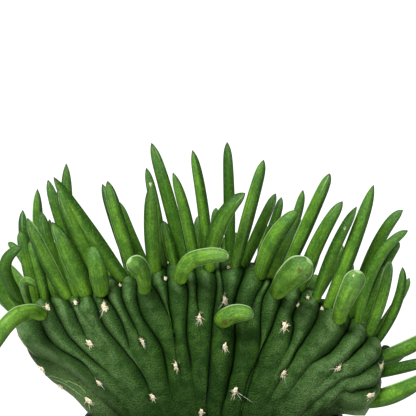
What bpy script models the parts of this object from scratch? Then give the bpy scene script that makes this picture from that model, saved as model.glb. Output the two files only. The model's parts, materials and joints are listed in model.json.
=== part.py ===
"""Potted crested Eve's needle cactus: a fan-shaped crested stem with fleshy leaves, in a black nursery pot.

The stem is a flat fan that opens from a narrow foot in the soil. Long swellings run up both of its faces,
parted by furrows, and a furrow's lower end carries a woolly spot with a few spines. Leaves stand in several
rows along the rim of the fan. The origin is the centre of the pot's underside, +Z is up, and the broad face
of the fan looks along -Y.
"""

import math
import random

import bmesh
import bpy
import numpy as np
from mathutils import Matrix, Vector

# Lengths are in millimetres, and become metres where a mesh is made.
MM = 0.001

# Pot
POT_HEIGHT = 88.0
POT_RIM_RADIUS = 50.0
POT_FOOT_RADIUS = 35.0
POT_WALL = 1.2
POT_FLOOR = 1.8
LIP_HEIGHT = 8.0
LIP_STEP = 3.8
POT_SIDES = 72
DRAIN_HOLES = 6
DRAIN_RADIUS = 4.5
DRAIN_CIRCLE = 23.0
DRAIN_SIDES = 20
SHARP_ANGLE = 35.0

# Soil
SOIL_LEVEL = 78.0
SOIL_DIP = 1.5
SOIL_GAP = 0.45
SOIL_SIDES = 48
SOIL_RINGS = 9
STEM_GAP = 0.45

# Stem: the fan's rays meet at the hub, and its angles are in degrees from upright, positive to the right.
HUB_HEIGHT = 65.5
FOOT_HEIGHT = 60.0
FOOT_HALF_WIDTH = 16.0
FAN_LEFT = -59.5
FAN_RIGHT = 68.0
LEFT_SWING = -6.5
LEFT_SWING_END = 45.0
HALF_THICKNESS = 15.0
FOOT_THINNING = 0.3
RIM_ROUND = 9.0
BACKWARD_BEND = 8.0
WAVE_DEPTH = 1.6
WAVE_LENGTH = 15.0
HALF_SPAN = 70.0
RIGHT_LIFT = 6.6

# The fan's outline: the angle of a ray, and how far the stem reaches along it.
OUTLINE = (
    (-59.5, 71.0),
    (-57.0, 82.5),
    (-54.5, 90.0),
    (-51.0, 94.5),
    (-45.0, 94.5),
    (-36.0, 88.5),
    (-24.0, 86.0),
    (-12.0, 84.5),
    (0.0, 83.5),
    (12.0, 83.0),
    (24.0, 81.0),
    (34.0, 80.5),
    (42.0, 82.0),
    (50.0, 82.0),
    (55.0, 79.0),
    (60.0, 73.5),
    (64.5, 68.0),
    (68.0, 62.0),
)

# Furrows of the front: angle at the rim, angle at the lower end, how far the middle bellies aside in degrees,
# distance of the lower end from the hub, and whether it carries a woolly spot.
FURROWS = (
    (-57.0, -58.6, 0.0, 56.0, True),
    (-53.0, -54.8, -0.5, 62.0, False),
    (-48.5, -51.0, -0.8, 57.0, True),
    (-43.1, -45.8, -1.5, 57.0, False),
    (-39.4, -42.5, 0.0, 70.0, True),
    (-34.8, -37.3, 0.5, 39.0, True),
    (-30.9, -32.8, 0.0, 58.0, False),
    (-25.9, -28.4, -0.9, 58.0, True),
    (-22.2, -27.0, 1.5, 38.0, False),
    (-17.3, -20.3, 0.0, 66.0, False),
    (-13.5, -17.6, 0.0, 45.0, True),
    (-8.2, -11.7, -1.3, 41.0, False),
    (-4.8, -6.2, 0.0, 61.0, True),
    (0.6, -5.0, 1.2, 26.0, True),
    (3.0, 2.4, 0.0, 67.0, True),
    (7.4, 8.4, 2.0, 27.0, False),
    (13.1, 12.3, 0.0, 66.0, False),
    (16.9, 16.2, 0.0, 56.0, False),
    (20.8, 19.2, 1.0, 35.0, True),
    (25.6, 24.6, 0.0, 64.0, True),
    (29.0, 30.0, 0.0, 53.0, False),
    (33.2, 34.2, 0.0, 48.5, True),
    (41.9, 40.6, 1.6, 55.0, False),
    (48.4, 47.5, 0.0, 63.5, True),
    (55.0, 51.4, 0.0, 53.0, False),
    (60.5, 58.3, 0.0, 58.0, True),
)
FURROW_DEPTH = 3.3
FURROW_SPREAD = 1.2
FURROW_FADE = 0.16
FURROW_TOP = 0.12
# A place on the front face is seen this much lower than it is, since it stands nearer to the eye.
FACE_DROP = 2.0
BACK_SEED = 7

# Woolly spots that stand on a swelling by themselves: angle and distance from the hub.
LONE_SPOTS = ((-44.7, 86.0), (-32.4, 76.0), (4.8, 49.3), (57.0, 70.0), (-57.0, 76.0))
SPOT_RADIUS = 1.5
SPOT_HEIGHT = 1.0
SPOT_DEPTH = 1.6
SPINE_RADIUS = 0.25
SPINE_LENGTH = 4.2

# Mesh fineness of the stem: columns in each swelling, rows on a face, and rows over half of the rim.
COLUMNS_PER_SWELLING = 3
FACE_ROWS = 7
RIM_ROWS = 3

# The leaves are laid out as an eye a little above the plant sees them: (across, up) is a place on a sheet
# held square to the line of sight, with its middle SHEET_MIDDLE at the point SIGHT_MIDDLE.
EYE_DISTANCE = 700.0
EYE_ANGLE = 8.0
SIGHT_MIDDLE = (-2.25, 0.0, 168.8)
SHEET_MIDDLE = (-2.25, 166.75)

# Straight leaves: the ray that a leaf roots on, how far over the rim its root lies (-90 is the front
# shoulder, 90 the back shoulder), where its tip is (across, up), and its width.
LEAVES = (
    (-31.0, 40.0, (-55.5, 183.5), 4.4),
    (-24.5, -28.0, (-60.0, 178.0), 5.8),
    (-29.5, 5.0, (-62.3, 177.0), 4.6),
    (-32.2, -34.0, (-58.0, 173.5), 7.0),
    (-45.0, -20.0, (-66.4, 173.5), 4.8),
    (-36.2, -44.0, (-60.6, 161.3), 8.2),
    (-40.0, -40.0, (-69.8, 162.8), 5.4),
    (-37.5, -15.0, (-64.7, 164.3), 4.8),
    (-34.0, 30.0, (-61.3, 162.3), 4.4),
    (-46.0, 15.0, (-71.6, 165.8), 4.6),
    (-44.0, -5.0, (-72.6, 157.2), 4.6),
    (-43.0, 50.0, (-77.4, 153.6), 4.4),
    (-49.6, -15.0, (-88.0, 153.0), 6.6),
    (-42.0, -24.0, (-62.5, 156.0), 5.0),
    (-23.2, -30.0, (-40.1, 177.0), 5.8),
    (-24.0, 10.0, (-42.0, 175.6), 4.6),
    (-18.4, 5.0, (-35.6, 170.5), 4.8),
    (-19.5, -24.0, (-28.1, 151.8), 3.8),
    (-17.0, -34.0, (-23.8, 175.0), 5.6),
    (-14.2, -5.0, (-25.3, 181.8), 4.6),
    (-8.4, 0.0, (-23.6, 191.5), 5.4),
    (-5.4, -22.0, (-15.4, 180.0), 5.2),
    (-1.8, 5.0, (-7.9, 188.7), 4.8),
    (-5.0, 25.0, (-5.8, 163.4), 4.2),
    (0.0, 45.0, (0.8, 166.6), 4.2),
    (4.0, 0.0, (4.9, 191.7), 4.8),
    (5.9, -30.0, (18.6, 184.6), 5.8),
    (9.2, -5.0, (23.3, 172.0), 4.6),
    (11.0, 20.0, (25.3, 170.9), 4.4),
    (17.7, 25.0, (33.6, 173.7), 4.4),
    (19.5, -16.0, (43.3, 179.5), 5.8),
    (15.4, -34.0, (29.6, 159.3), 4.8),
    (25.0, -18.0, (48.2, 169.0), 6.4),
    (28.3, -32.0, (53.6, 167.1), 5.2),
    (32.2, -28.0, (59.8, 175.4), 5.4),
    (38.0, -5.0, (70.9, 165.6), 5.4),
    (41.2, 12.0, (69.0, 153.3), 4.4),
    (48.4, -22.0, (65.8, 146.9), 5.4),
    (51.8, -8.0, (70.7, 144.4), 4.2),
    (51.5, 40.0, (73.1, 140.1), 4.0),
    (56.0, -15.0, (83.0, 124.5), 5.4),
)
# Bent leaves: ray and root as above, the point (across, up, forward) that the leaf bends through, its tip in
# the same way, and its width.
BENT_LEAVES = (
    (-31.5, -66.0, (-43.5, 141.0, 18.0), (-45.8, 151.8, 17.0), 7.4),
    (-48.2, 5.0, (-78.2, 143.0, 2.0), (-72.0, 152.5, 7.0), 4.2),
    (-47.0, -72.0, (-73.5, 131.5, 27.0), (-83.5, 112.5, 25.0), 6.4),
    (-47.8, -38.0, (-71.2, 140.0, 13.0), (-65.6, 138.6, 15.0), 4.2),
    (-1.5, -44.0, (2.0, 160.5, 17.0), (11.8, 172.4, 17.0), 6.8),
    (-20.0, -74.0, (-27.6, 148.5, 21.0), (-29.0, 146.0, 29.0), 7.6),
    (-10.0, -76.0, (-6.0, 149.6, 24.0), (6.4, 148.0, 27.0), 6.4),
    (12.5, -46.0, (20.6, 155.5, 17.0), (31.5, 165.6, 17.0), 6.6),
    (19.8, -74.0, (26.5, 142.0, 24.0), (37.4, 146.0, 30.0), 9.0),
    (38.8, -76.0, (49.8, 134.0, 24.0), (55.6, 144.2, 25.0), 7.0),
    (43.2, -26.0, (60.6, 145.5, 10.0), (72.8, 158.1, 10.0), 5.0),
    (60.2, -12.0, (73.5, 109.5, 5.0), (84.5, 108.5, 6.0), 5.0),
    (65.0, -20.0, (69.5, 98.0, 8.0), (84.5, 105.5, 8.0), 7.0),
)
# A small leaf hangs low on the front face: the ray and the distance from the hub of its root, then as above.
LOW_LEAF = (1.8, 59.0, (5.8, 126.8, 21.0), (15.0, 127.4, 24.0), 6.4)

# Leaves of the back stand by rule in rows: how far over the rim, the first ray, the spacing and the length.
BACK_ROWS = ((30.0, -47.0, 13.0, 34.0), (55.0, -52.0, 11.0, 31.0), (82.0, -46.0, 13.0, 25.0))
BACK_LEAF_WIDTH = 5.2
BACK_LEAN = 0.0075
LAST_BACK_RAY = 60.0
# A straight leaf leans out by this much at a shoulder, and first leaves the stem a little along its normal.
LEAF_LEAN = 15.0
LEAF_RISE = 0.3
LEAF_THICKNESS = 0.78
ROOT_DEPTH = 3.0
# A leaf's sides, the places of its rings along it, and what its flat sides are widened by to look as wide.
LEAF_SIDES = 5
STRAIGHT_RINGS = (0.0, 0.25, 0.6, 0.82, 0.94)
BENT_RINGS = (0.0, 0.15, 0.32, 0.5, 0.68, 0.84, 0.95)
CORNER_ALLOWANCE = 1.08

PLANT_GREEN = (0.075, 0.20, 0.045, 1.0)
POT_BLACK = (0.012, 0.012, 0.014, 1.0)
SOIL_BROWN = (0.055, 0.036, 0.024, 1.0)


def clear_scene():
    """Remove what the file holds already."""
    for obj in list(bpy.data.objects):
        bpy.data.objects.remove(obj)


def material(name, colour, roughness):
    """One Principled material."""
    made = bpy.data.materials.new(name)
    made.use_nodes = True
    shader = made.node_tree.nodes["Principled BSDF"]
    shader.inputs["Base Color"].default_value = colour
    shader.inputs["Roughness"].default_value = roughness
    shader.inputs["Metallic"].default_value = 0.0
    return made


def edited_object(name, edit, collection=None):
    """An object from an edit mesh, with its normals turned outwards."""
    bmesh.ops.recalc_face_normals(edit, faces=edit.faces)
    mesh = bpy.data.meshes.new(name)
    edit.to_mesh(mesh)
    edit.free()
    obj = bpy.data.objects.new(name, mesh)
    (collection or bpy.context.scene.collection).objects.link(obj)
    return obj


def mesh_object(name, points, faces, collection=None):
    """An object from points in millimetres and faces."""
    mesh = bpy.data.meshes.new(name + " points")
    mesh.from_pydata([tuple(float(c) * MM for c in p) for p in points], [], [list(f) for f in faces])
    edit = bmesh.new()
    edit.from_mesh(mesh)
    bpy.data.meshes.remove(mesh)
    return edited_object(name, edit, collection)


def apply_modifiers(obj):
    """Swap the object's mesh for the one its modifiers give."""
    graph = bpy.context.evaluated_depsgraph_get()
    shaped = bpy.data.meshes.new_from_object(obj.evaluated_get(graph))
    obj.modifiers.clear()
    obj.data = shaped


def combine(obj, tools, operation):
    """Join every object of the tools collection to obj, or cut it from obj, and remove the tools."""
    boolean = obj.modifiers.new("combine", "BOOLEAN")
    boolean.operation = operation
    boolean.solver = "EXACT"
    boolean.operand_type = "COLLECTION"
    boolean.collection = tools
    apply_modifiers(obj)
    for tool in list(tools.objects):
        bpy.data.objects.remove(tool)
    bpy.data.collections.remove(tools)


def collection_of(name):
    """A new collection in the scene."""
    made = bpy.data.collections.new(name)
    bpy.context.scene.collection.children.link(made)
    return made


def ringed(name, bottom, rings, top, collection=None):
    """A solid from rings of equally many points, closed by fans to a bottom and a top point."""
    sides = len(rings[0])
    points = [bottom] + [p for ring in rings for p in ring] + [top]
    last = len(points) - 1
    faces = []
    for k in range(sides):
        n = (k + 1) % sides
        faces.append((0, 1 + n, 1 + k))
        for ring in range(len(rings) - 1):
            low, high = 1 + ring * sides, 1 + (ring + 1) * sides
            faces.append((low + k, low + n, high + n, high + k))
        faces.append((last, last - sides + k, last - sides + n))
    return mesh_object(name, points, faces, collection)


def circle(radius, height, sides):
    """Points round the Z axis."""
    turns = [2 * math.pi * k / sides for k in range(sides)]
    return [(radius * math.cos(t), radius * math.sin(t), height) for t in turns]


def turned(name, profile, sides):
    """A solid turned about Z from a profile of (radius, height) that starts and ends on the axis."""
    edit = bmesh.new()
    line = [edit.verts.new((radius * MM, 0.0, height * MM)) for radius, height in profile]
    edges = [edit.edges.new(ends) for ends in zip(line, line[1:])]
    axis, whole_turn = (0.0, 0.0, 1.0), 2 * math.pi
    bmesh.ops.spin(edit, geom=line + edges, axis=axis, angle=whole_turn, steps=sides, use_merge=True)
    bmesh.ops.remove_doubles(edit, verts=edit.verts, dist=1e-6)
    return edited_object(name, edit)


def drill(place, collection):
    """A round bar through the pot's floor, for a drain hole."""
    edit = bmesh.new()
    turn = Matrix.Translation(place * MM)
    size = {"radius1": DRAIN_RADIUS * MM, "radius2": DRAIN_RADIUS * MM, "depth": 8 * POT_FLOOR * MM}
    bmesh.ops.create_cone(edit, cap_ends=True, segments=DRAIN_SIDES, matrix=turn, **size)
    edited_object("drill", edit, collection)


def wall_radius(height):
    """Inner radius of the pot's plain wall, below the lip."""
    top = POT_RIM_RADIUS - LIP_STEP - 2 * POT_WALL + 0.8
    foot = POT_FOOT_RADIUS - 0.8
    return foot + (top - foot) * (height - POT_FLOOR) / (POT_HEIGHT - LIP_HEIGHT - POT_FLOOR)


def make_pot():
    """A thin-walled tapered pot with a stepped lip, and round drain holes through its flat floor."""
    step = POT_HEIGHT - LIP_HEIGHT
    inner_top = wall_radius(step)
    lip_inner = POT_RIM_RADIUS - POT_WALL - 0.5
    profile = [
        (0.0, 0.0),
        (POT_FOOT_RADIUS - 0.9, 0.0),
        (POT_FOOT_RADIUS, 0.9),
        (inner_top + POT_WALL, step - 0.6),
        (POT_RIM_RADIUS - 0.9, step),
        (POT_RIM_RADIUS - 0.3, step + 0.7),
        (POT_RIM_RADIUS, POT_HEIGHT - 1.1),
        (POT_RIM_RADIUS - 0.4, POT_HEIGHT - 0.25),
        (POT_RIM_RADIUS - 0.9, POT_HEIGHT),
        (lip_inner + 0.3, POT_HEIGHT - 0.2),
        (lip_inner, POT_HEIGHT - 0.9),
        (lip_inner - 0.3, step + 1.7),
        (inner_top + 0.1, step + 0.7),
        (wall_radius(POT_FLOOR + 1.0), POT_FLOOR + 1.0),
        (wall_radius(POT_FLOOR) - 1.2, POT_FLOOR),
        (0.0, POT_FLOOR),
    ]
    pot = turned("pot", profile, POT_SIDES)
    drills = collection_of("drain hole drills")
    for k in range(DRAIN_HOLES):
        turn = 2 * math.pi * (k + 0.5) / DRAIN_HOLES
        drill(DRAIN_CIRCLE * Vector((math.cos(turn), math.sin(turn), 0.0)), drills)
    combine(pot, drills, "DIFFERENCE")
    pot.data.shade_smooth()
    pot.data.set_sharp_from_angle(angle=math.radians(SHARP_ANGLE))
    return pot


def soil_height(x, y):
    """Height of the soil's uneven surface."""
    swell = 0.7 * math.sin(0.21 * x + 1.3) * math.cos(0.17 * y)
    grit = 0.45 * math.sin(0.83 * x + 0.5 * y) * math.sin(0.71 * y - 0.9)
    return SOIL_LEVEL + swell + grit


def make_soil():
    """Soil that fills the pot to below its lip, with an uneven top and a plain hole for the stem."""
    floor, brim = POT_FLOOR + SOIL_GAP, SOIL_LEVEL - SOIL_DIP
    foot, edge = wall_radius(floor) - SOIL_GAP, wall_radius(brim) - SOIL_GAP
    rings = [circle(foot - 1.6, floor, SOIL_SIDES), circle(foot, floor + 1.6, SOIL_SIDES)]
    rings.append(circle(edge, brim, SOIL_SIDES))
    for ring in range(1, SOIL_RINGS):
        level = circle(edge * (1 - ring / SOIL_RINGS), 0.0, SOIL_SIDES)
        rings.append([(x, y, soil_height(x, y)) for x, y, _ in level])
    soil = ringed("soil", (0.0, 0.0, floor), rings, (0.0, 0.0, soil_height(0.0, 0.0)))
    tools = collection_of("stem hole")
    stem_mesh("hole", tools, furrow_depth=0.0, clearance=STEM_GAP)
    combine(soil, tools, "DIFFERENCE")
    return soil


def smooth_step(value):
    """0 below 0, 1 above 1, and a smooth rise between them."""
    x = np.clip(value, 0.0, 1.0)
    return x * x * (3.0 - 2.0 * x)


def smooth_curve(x, knots):
    """A smooth curve through (position, value) knots: cubic pieces with the knots' own slopes."""
    xs, ys = np.array(knots, float).T
    slope = np.gradient(ys, xs)
    k = np.clip(np.searchsorted(xs, x, side="right") - 1, 0, len(xs) - 2)
    gap = xs[k + 1] - xs[k]
    s = (x - xs[k]) / gap
    first = (1 + 2 * s) * (1 - s) ** 2 * ys[k] + s * (1 - s) ** 2 * gap * slope[k]
    second = s * s * (3 - 2 * s) * ys[k + 1] + s * s * (s - 1) * gap * slope[k + 1]
    return first + second


def face_share(fan, distance):
    """Share of the way up a face, from foot to shoulder, at a distance from the hub."""
    return distance / (smooth_curve(np.asarray(fan, float), OUTLINE) - RIM_ROUND)


def front_share(fan, distance):
    """The same for a distance as it is seen on the front face."""
    return face_share(fan, distance + FACE_DROP * np.cos(np.radians(fan)))


def end_round(fan):
    """1 in the middle of the fan, falling to 0 at its two side edges, so that they are round."""
    across = np.abs((np.asarray(fan, float) - (FAN_LEFT + FAN_RIGHT) / 2) / ((FAN_RIGHT - FAN_LEFT) / 2))
    return np.sqrt(np.clip(1.0 - across**6, 0.0, 1.0))


def ray_drift(fan, share):
    """How far a ray has swung aside, in degrees, at a share of the way up the face.

    A furrow swings and bellies between its rim and its lower end, and stays as it is below that. A ray
    between two furrows goes with both, by its nearness to each.
    """
    rim = np.array([FAN_LEFT] + [f[0] for f in FURROWS])
    swing = np.array([LEFT_SWING] + [f[1] - f[0] for f in FURROWS])
    belly = np.array([0.0] + [f[2] for f in FURROWS])
    ends = np.minimum(front_share(rim, np.array([LEFT_SWING_END] + [f[3] for f in FURROWS])), 0.95)

    def of_furrow(k):
        down = np.clip((1.0 - share) / (1.0 - ends[k]), 0.0, 1.0)
        return swing[k] * down + belly[k] * 4 * down * (1 - down)

    left = np.clip(np.searchsorted(rim, fan) - 1, 0, len(rim) - 2)
    near = np.clip((fan - rim[left]) / (rim[left + 1] - rim[left]), 0.0, 1.0)
    return of_furrow(left) * (1 - near) + of_furrow(left + 1) * near


def skin(fan, girth):
    """A point of the smooth stem.

    fan is the ray's angle. girth goes from -2 at the front foot to -1 at the front shoulder, 0 on top of the
    rim, 1 at the back shoulder and 2 at the back foot. On a face the point lies on the ray at its share of
    the reach; over the rim it follows half an ellipse.
    """
    fan, girth = np.broadcast_arrays(np.asarray(fan, float), np.asarray(girth, float))
    share = np.clip(2.0 - np.abs(girth), 0.0, 1.0)
    over = np.clip(girth, -1.0, 1.0) * math.pi / 2
    reach = share * (smooth_curve(fan, OUTLINE) - RIM_ROUND) + RIM_ROUND * np.cos(over)
    ray = np.radians(fan + ray_drift(fan, share))
    foot = (1.0 - share) ** 3
    x = reach * np.sin(ray) + foot * FOOT_HALF_WIDTH * fan / FAN_RIGHT
    z = HUB_HEIGHT + reach * np.cos(ray) + foot * (FOOT_HEIGHT - HUB_HEIGHT)
    part = reach / smooth_curve(fan, OUTLINE)
    z = z + RIGHT_LIFT * 4 * part * (1 - part) * smooth_step((fan - 50.0) / 16.0)
    half = HALF_THICKNESS * (1.0 - FOOT_THINNING * (1.0 - share) ** 2) * end_round(fan)
    y = half * np.sin(over) + BACKWARD_BEND * (x / HALF_SPAN) ** 2 + WAVE_DEPTH * np.sin(x / WAVE_LENGTH)
    return np.stack([x, y, z], axis=-1)


def skin_normal(fan, girth):
    """The unit normal of the smooth stem, from two small steps along it."""
    along = skin(np.asarray(fan) + 0.3, girth) - skin(np.asarray(fan) - 0.3, girth)
    up = skin(fan, np.asarray(girth) + 0.01) - skin(fan, np.asarray(girth) - 0.01)
    normal = np.cross(along, up)
    return normal / np.maximum(np.linalg.norm(normal, axis=-1, keepdims=True), 1e-9)


def back_furrows():
    """Lower ends of the furrows on the back, and which of them carry a woolly spot, by a seeded draw."""
    draw = random.Random(BACK_SEED)
    return [(draw.uniform(38.0, 66.0), draw.random() < 0.5) for _ in FURROWS]


def furrow_relief(fan, girth):
    """How far the furrows cut in. Each falls away from its line like exp(-angle): its bottom is a crease."""
    share = np.clip(2.0 - np.abs(girth), 0.0, 1.0)
    back = back_furrows()
    total = np.zeros(np.broadcast(fan, girth).shape)
    for k, (rim, _, _, distance, _) in enumerate(FURROWS):
        ends = np.where(girth < 0, front_share(rim, distance), face_share(rim, back[k][0]))
        fade = smooth_step((share - ends) / FURROW_FADE) * smooth_step((np.abs(girth) - FURROW_TOP) / 0.35)
        total = total + fade * np.exp(-np.abs(fan - rim) / FURROW_SPREAD)
    return total * (0.45 + 0.55 * share) * np.minimum(1.0, 2.0 * end_round(fan) ** 2)


def stem_columns():
    """The rays of the stem's mesh: the furrows, even steps between them, and closer ones at the edges."""
    marks = [FAN_LEFT] + [f[0] for f in FURROWS] + [FAN_RIGHT]
    rays = []
    for low, high in zip(marks, marks[1:]):
        steps = COLUMNS_PER_SWELLING if high - low > 3.0 else 2
        rays += [low + (high - low) * k / steps for k in range(steps)]
    rays += [FAN_LEFT + 0.25, FAN_RIGHT - 0.25, FAN_RIGHT]
    return np.array(sorted(set(rays)))


def stem_rows():
    """The girths of the stem's mesh, from the front foot over the rim to the back foot."""
    face = np.linspace(-2.0, -1.0, FACE_ROWS + 1)[:-1]
    rim = np.linspace(-1.0, 1.0, 2 * RIM_ROWS + 1)
    return np.concatenate([face, rim, -face[::-1]])


def stem_mesh(name, collection, furrow_depth, clearance=0.0):
    """The stem as one closed mesh: rays by girths, zipped along both side edges, with a flat foot."""
    fan, girth = np.meshgrid(stem_columns(), stem_rows(), indexing="ij")
    normal = skin_normal(fan, girth)
    normal[0] = np.array([-1.0, 0.0, -0.3]) / math.hypot(1.0, 0.3)
    normal[-1] = np.array([1.0, 0.0, -0.3]) / math.hypot(1.0, 0.3)
    offset = clearance - furrow_depth * furrow_relief(fan, girth)
    points = skin(fan, girth) + normal * offset[..., None]
    points[:, (0, -1), 2] = FOOT_HEIGHT - clearance
    index = np.arange(fan.size).reshape(fan.shape)
    for edge in (0, -1):
        points[edge] = (points[edge] + points[edge, ::-1]) / 2
        index[edge] = np.minimum(index[edge], index[edge, ::-1])
    skin_faces = np.stack([index[:-1, :-1], index[1:, :-1], index[1:, 1:], index[:-1, 1:]], axis=-1)
    foot_faces = np.stack([index[:-1, 0], index[:-1, -1], index[1:, -1], index[1:, 0]], axis=-1)
    faces = []
    for face in skin_faces.reshape(-1, 4).tolist() + foot_faces.tolist():
        corners = [v for k, v in enumerate(face) if v != face[k - 1]]
        if len(corners) > 2:
            faces.append(corners)
    used, flat = np.unique(np.concatenate(faces), return_inverse=True)
    ends = np.cumsum([len(face) for face in faces])
    return mesh_object(name, points.reshape(-1, 3)[used], np.split(flat, ends[:-1]), collection)


def leaf_width(share):
    """Width of a leaf along its length: a round heel, widest at a third, and a long taper to a sharp tip."""
    heel = 0.70 + 0.30 * np.sin(np.clip(share / 0.3, 0.0, 1.0) * math.pi / 2)
    taper = np.clip(1.0 - np.clip((share - 0.3) / 0.7, 0.0, 1.0) ** 3.0, 0.0, 1.0) ** 0.8
    return heel * taper


def sighted(across, up, depth):
    """The point at this depth (y) that the eye sees at (across, up) on the sheet."""
    tilt = math.radians(EYE_ANGLE)
    middle = np.array(SIGHT_MIDDLE)
    eye = middle + EYE_DISTANCE * np.array([0.0, -math.cos(tilt), math.sin(tilt)])
    right, upright = np.array([1.0, 0.0, 0.0]), np.array([0.0, math.sin(tilt), math.cos(tilt)])
    place = middle + right * (across - SHEET_MIDDLE[0]) + upright * (up - SHEET_MIDDLE[1])
    return eye + (place - eye) * (depth - eye[1]) / (place[1] - eye[1])


def add_leaf(collection, root, outward, tip, width, through=None):
    """A fleshy leaf: a five-sided spindle along a curve with one bend, from inside the stem to a point."""
    start = root - outward * ROOT_DEPTH
    if through is None:
        chord = tip - root
        middle = root + chord / 2 + LEAF_RISE * (outward * np.linalg.norm(chord) - chord) / 2
    else:
        middle = 2 * through - (root + tip) / 2
    rings = []
    for place in STRAIGHT_RINGS if through is None else BENT_RINGS:
        here = (1 - place) ** 2 * start + 2 * place * (1 - place) * middle + place**2 * tip
        ahead = (1 - place) * (middle - start) + place * (tip - middle)
        ahead /= np.linalg.norm(ahead)
        across = np.array([here[2] - HUB_HEIGHT, 0.0, -here[0]])
        across -= ahead * (across @ ahead)
        across /= np.linalg.norm(across)
        deep = np.cross(ahead, across) * LEAF_THICKNESS
        half = width / 2 * CORNER_ALLOWANCE * leaf_width(place)
        turns = [2 * math.pi * (k + 0.25) / LEAF_SIDES for k in range(LEAF_SIDES)]
        rings.append([here + half * (across * math.cos(t) + deep * math.sin(t)) for t in turns])
    ringed("leaf", start, rings, tip, collection)


def add_front_leaves(collection):
    """The leaves that show from the front."""
    for fan, over, (across, up), width in LEAVES:
        root, outward = skin(fan, over / 90.0), skin_normal(fan, over / 90.0)
        add_leaf(collection, root, outward, sighted(across, up, root[1] + LEAF_LEAN * over / 90.0), width)
    low_fan, low_distance, *low_form = LOW_LEAF
    low_over = 90.0 * (float(front_share(low_fan, low_distance)) - 2.0)
    for fan, over, through, tip, width in BENT_LEAVES + ((low_fan, low_over, *low_form),):
        root, outward = skin(fan, over / 90.0), skin_normal(fan, over / 90.0)
        through, tip = (sighted(across, up, -forward) for across, up, forward in (through, tip))
        add_leaf(collection, root, outward, tip, width, through)


def add_back_leaves(collection):
    """The leaves of the back, in rows that lean out more the lower they root."""
    draw = random.Random(BACK_SEED + 1)
    for over, fan, spacing, length in BACK_ROWS:
        while fan < LAST_BACK_RAY:
            root, outward = skin(fan, over / 90.0), skin_normal(fan, over / 90.0)
            ray, lean = math.radians(fan), BACK_LEAN * over + draw.uniform(-0.12, 0.12)
            aim = np.array([math.sin(ray) * math.cos(lean), math.sin(lean), math.cos(ray) * math.cos(lean)])
            aim += (draw.uniform(-0.16, 0.16), 0.0, draw.uniform(-0.08, 0.08))
            tip = root + aim * length * draw.uniform(0.8, 1.15)
            add_leaf(collection, root, outward, tip, BACK_LEAF_WIDTH)
            fan += spacing * draw.uniform(0.85, 1.15)


def spot_places():
    """(ray, girth) of each woolly spot: below furrows that end in one, front and back, and the lone ones."""
    places = []
    for front, (back_distance, back_woolly) in zip(FURROWS, back_furrows()):
        rim, _, _, distance, woolly = front
        if woolly:
            places.append((rim, float(front_share(rim, distance - 1.5)) - 2.0))
        if back_woolly:
            places.append((rim, 2.0 - float(face_share(rim, back_distance - 1.5))))
    for fan, distance in LONE_SPOTS:
        places.append((fan, min(float(front_share(fan, distance)), 1.0) - 2.0))
    return places


def add_spike(collection, start, direction, length, radius, sides):
    """A straight spike from start."""
    ahead = direction / np.linalg.norm(direction)
    side = np.cross(ahead, [0.31, 0.17, 0.93])
    side /= np.linalg.norm(side)
    other = np.cross(ahead, side)
    turns = [2 * math.pi * k / sides for k in range(sides)]
    base = [start + radius * (side * math.cos(t) + other * math.sin(t)) for t in turns]
    ringed("spike", start, [base], start + ahead * length, collection)


def add_spots(collection):
    """Each woolly spot is a low six-sided cone, with two thin spines that slant down and outwards."""
    draw = random.Random(BACK_SEED + 2)
    for fan, girth in spot_places():
        outward = skin_normal(fan, girth)
        start = skin(fan, girth) - outward * SPOT_DEPTH
        add_spike(collection, start, outward, SPOT_HEIGHT + SPOT_DEPTH, SPOT_RADIUS, 6)
        for side in (-1.0, 1.0):
            slant = outward + np.array([side * draw.uniform(0.3, 0.8), 0.0, -0.5])
            length = SPINE_LENGTH * draw.uniform(0.8, 1.1) + SPOT_DEPTH
            add_spike(collection, start, slant, length, SPINE_RADIUS, 3)


def make_stem():
    """The stem with its leaves and woolly spots joined on: it grew as one piece."""
    stem = stem_mesh("crested_stem", None, furrow_depth=FURROW_DEPTH)
    growth = collection_of("leaves and spots")
    add_front_leaves(growth)
    add_back_leaves(growth)
    add_spots(growth)
    combine(stem, growth, "UNION")
    return stem


def main():
    clear_scene()
    for make, colour, roughness in (
        (make_pot, POT_BLACK, 0.42),
        (make_soil, SOIL_BROWN, 0.95),
        (make_stem, PLANT_GREEN, 0.48),
    ):
        obj = make()
        obj.data.materials.clear()
        obj.data.materials.append(material(obj.name + " finish", colour, roughness))


main()
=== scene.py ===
# The looks of a potted crested cactus: a fan-shaped stem with fleshy leaves along its rim, in a nursery pot.
import json
import math
import random

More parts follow.
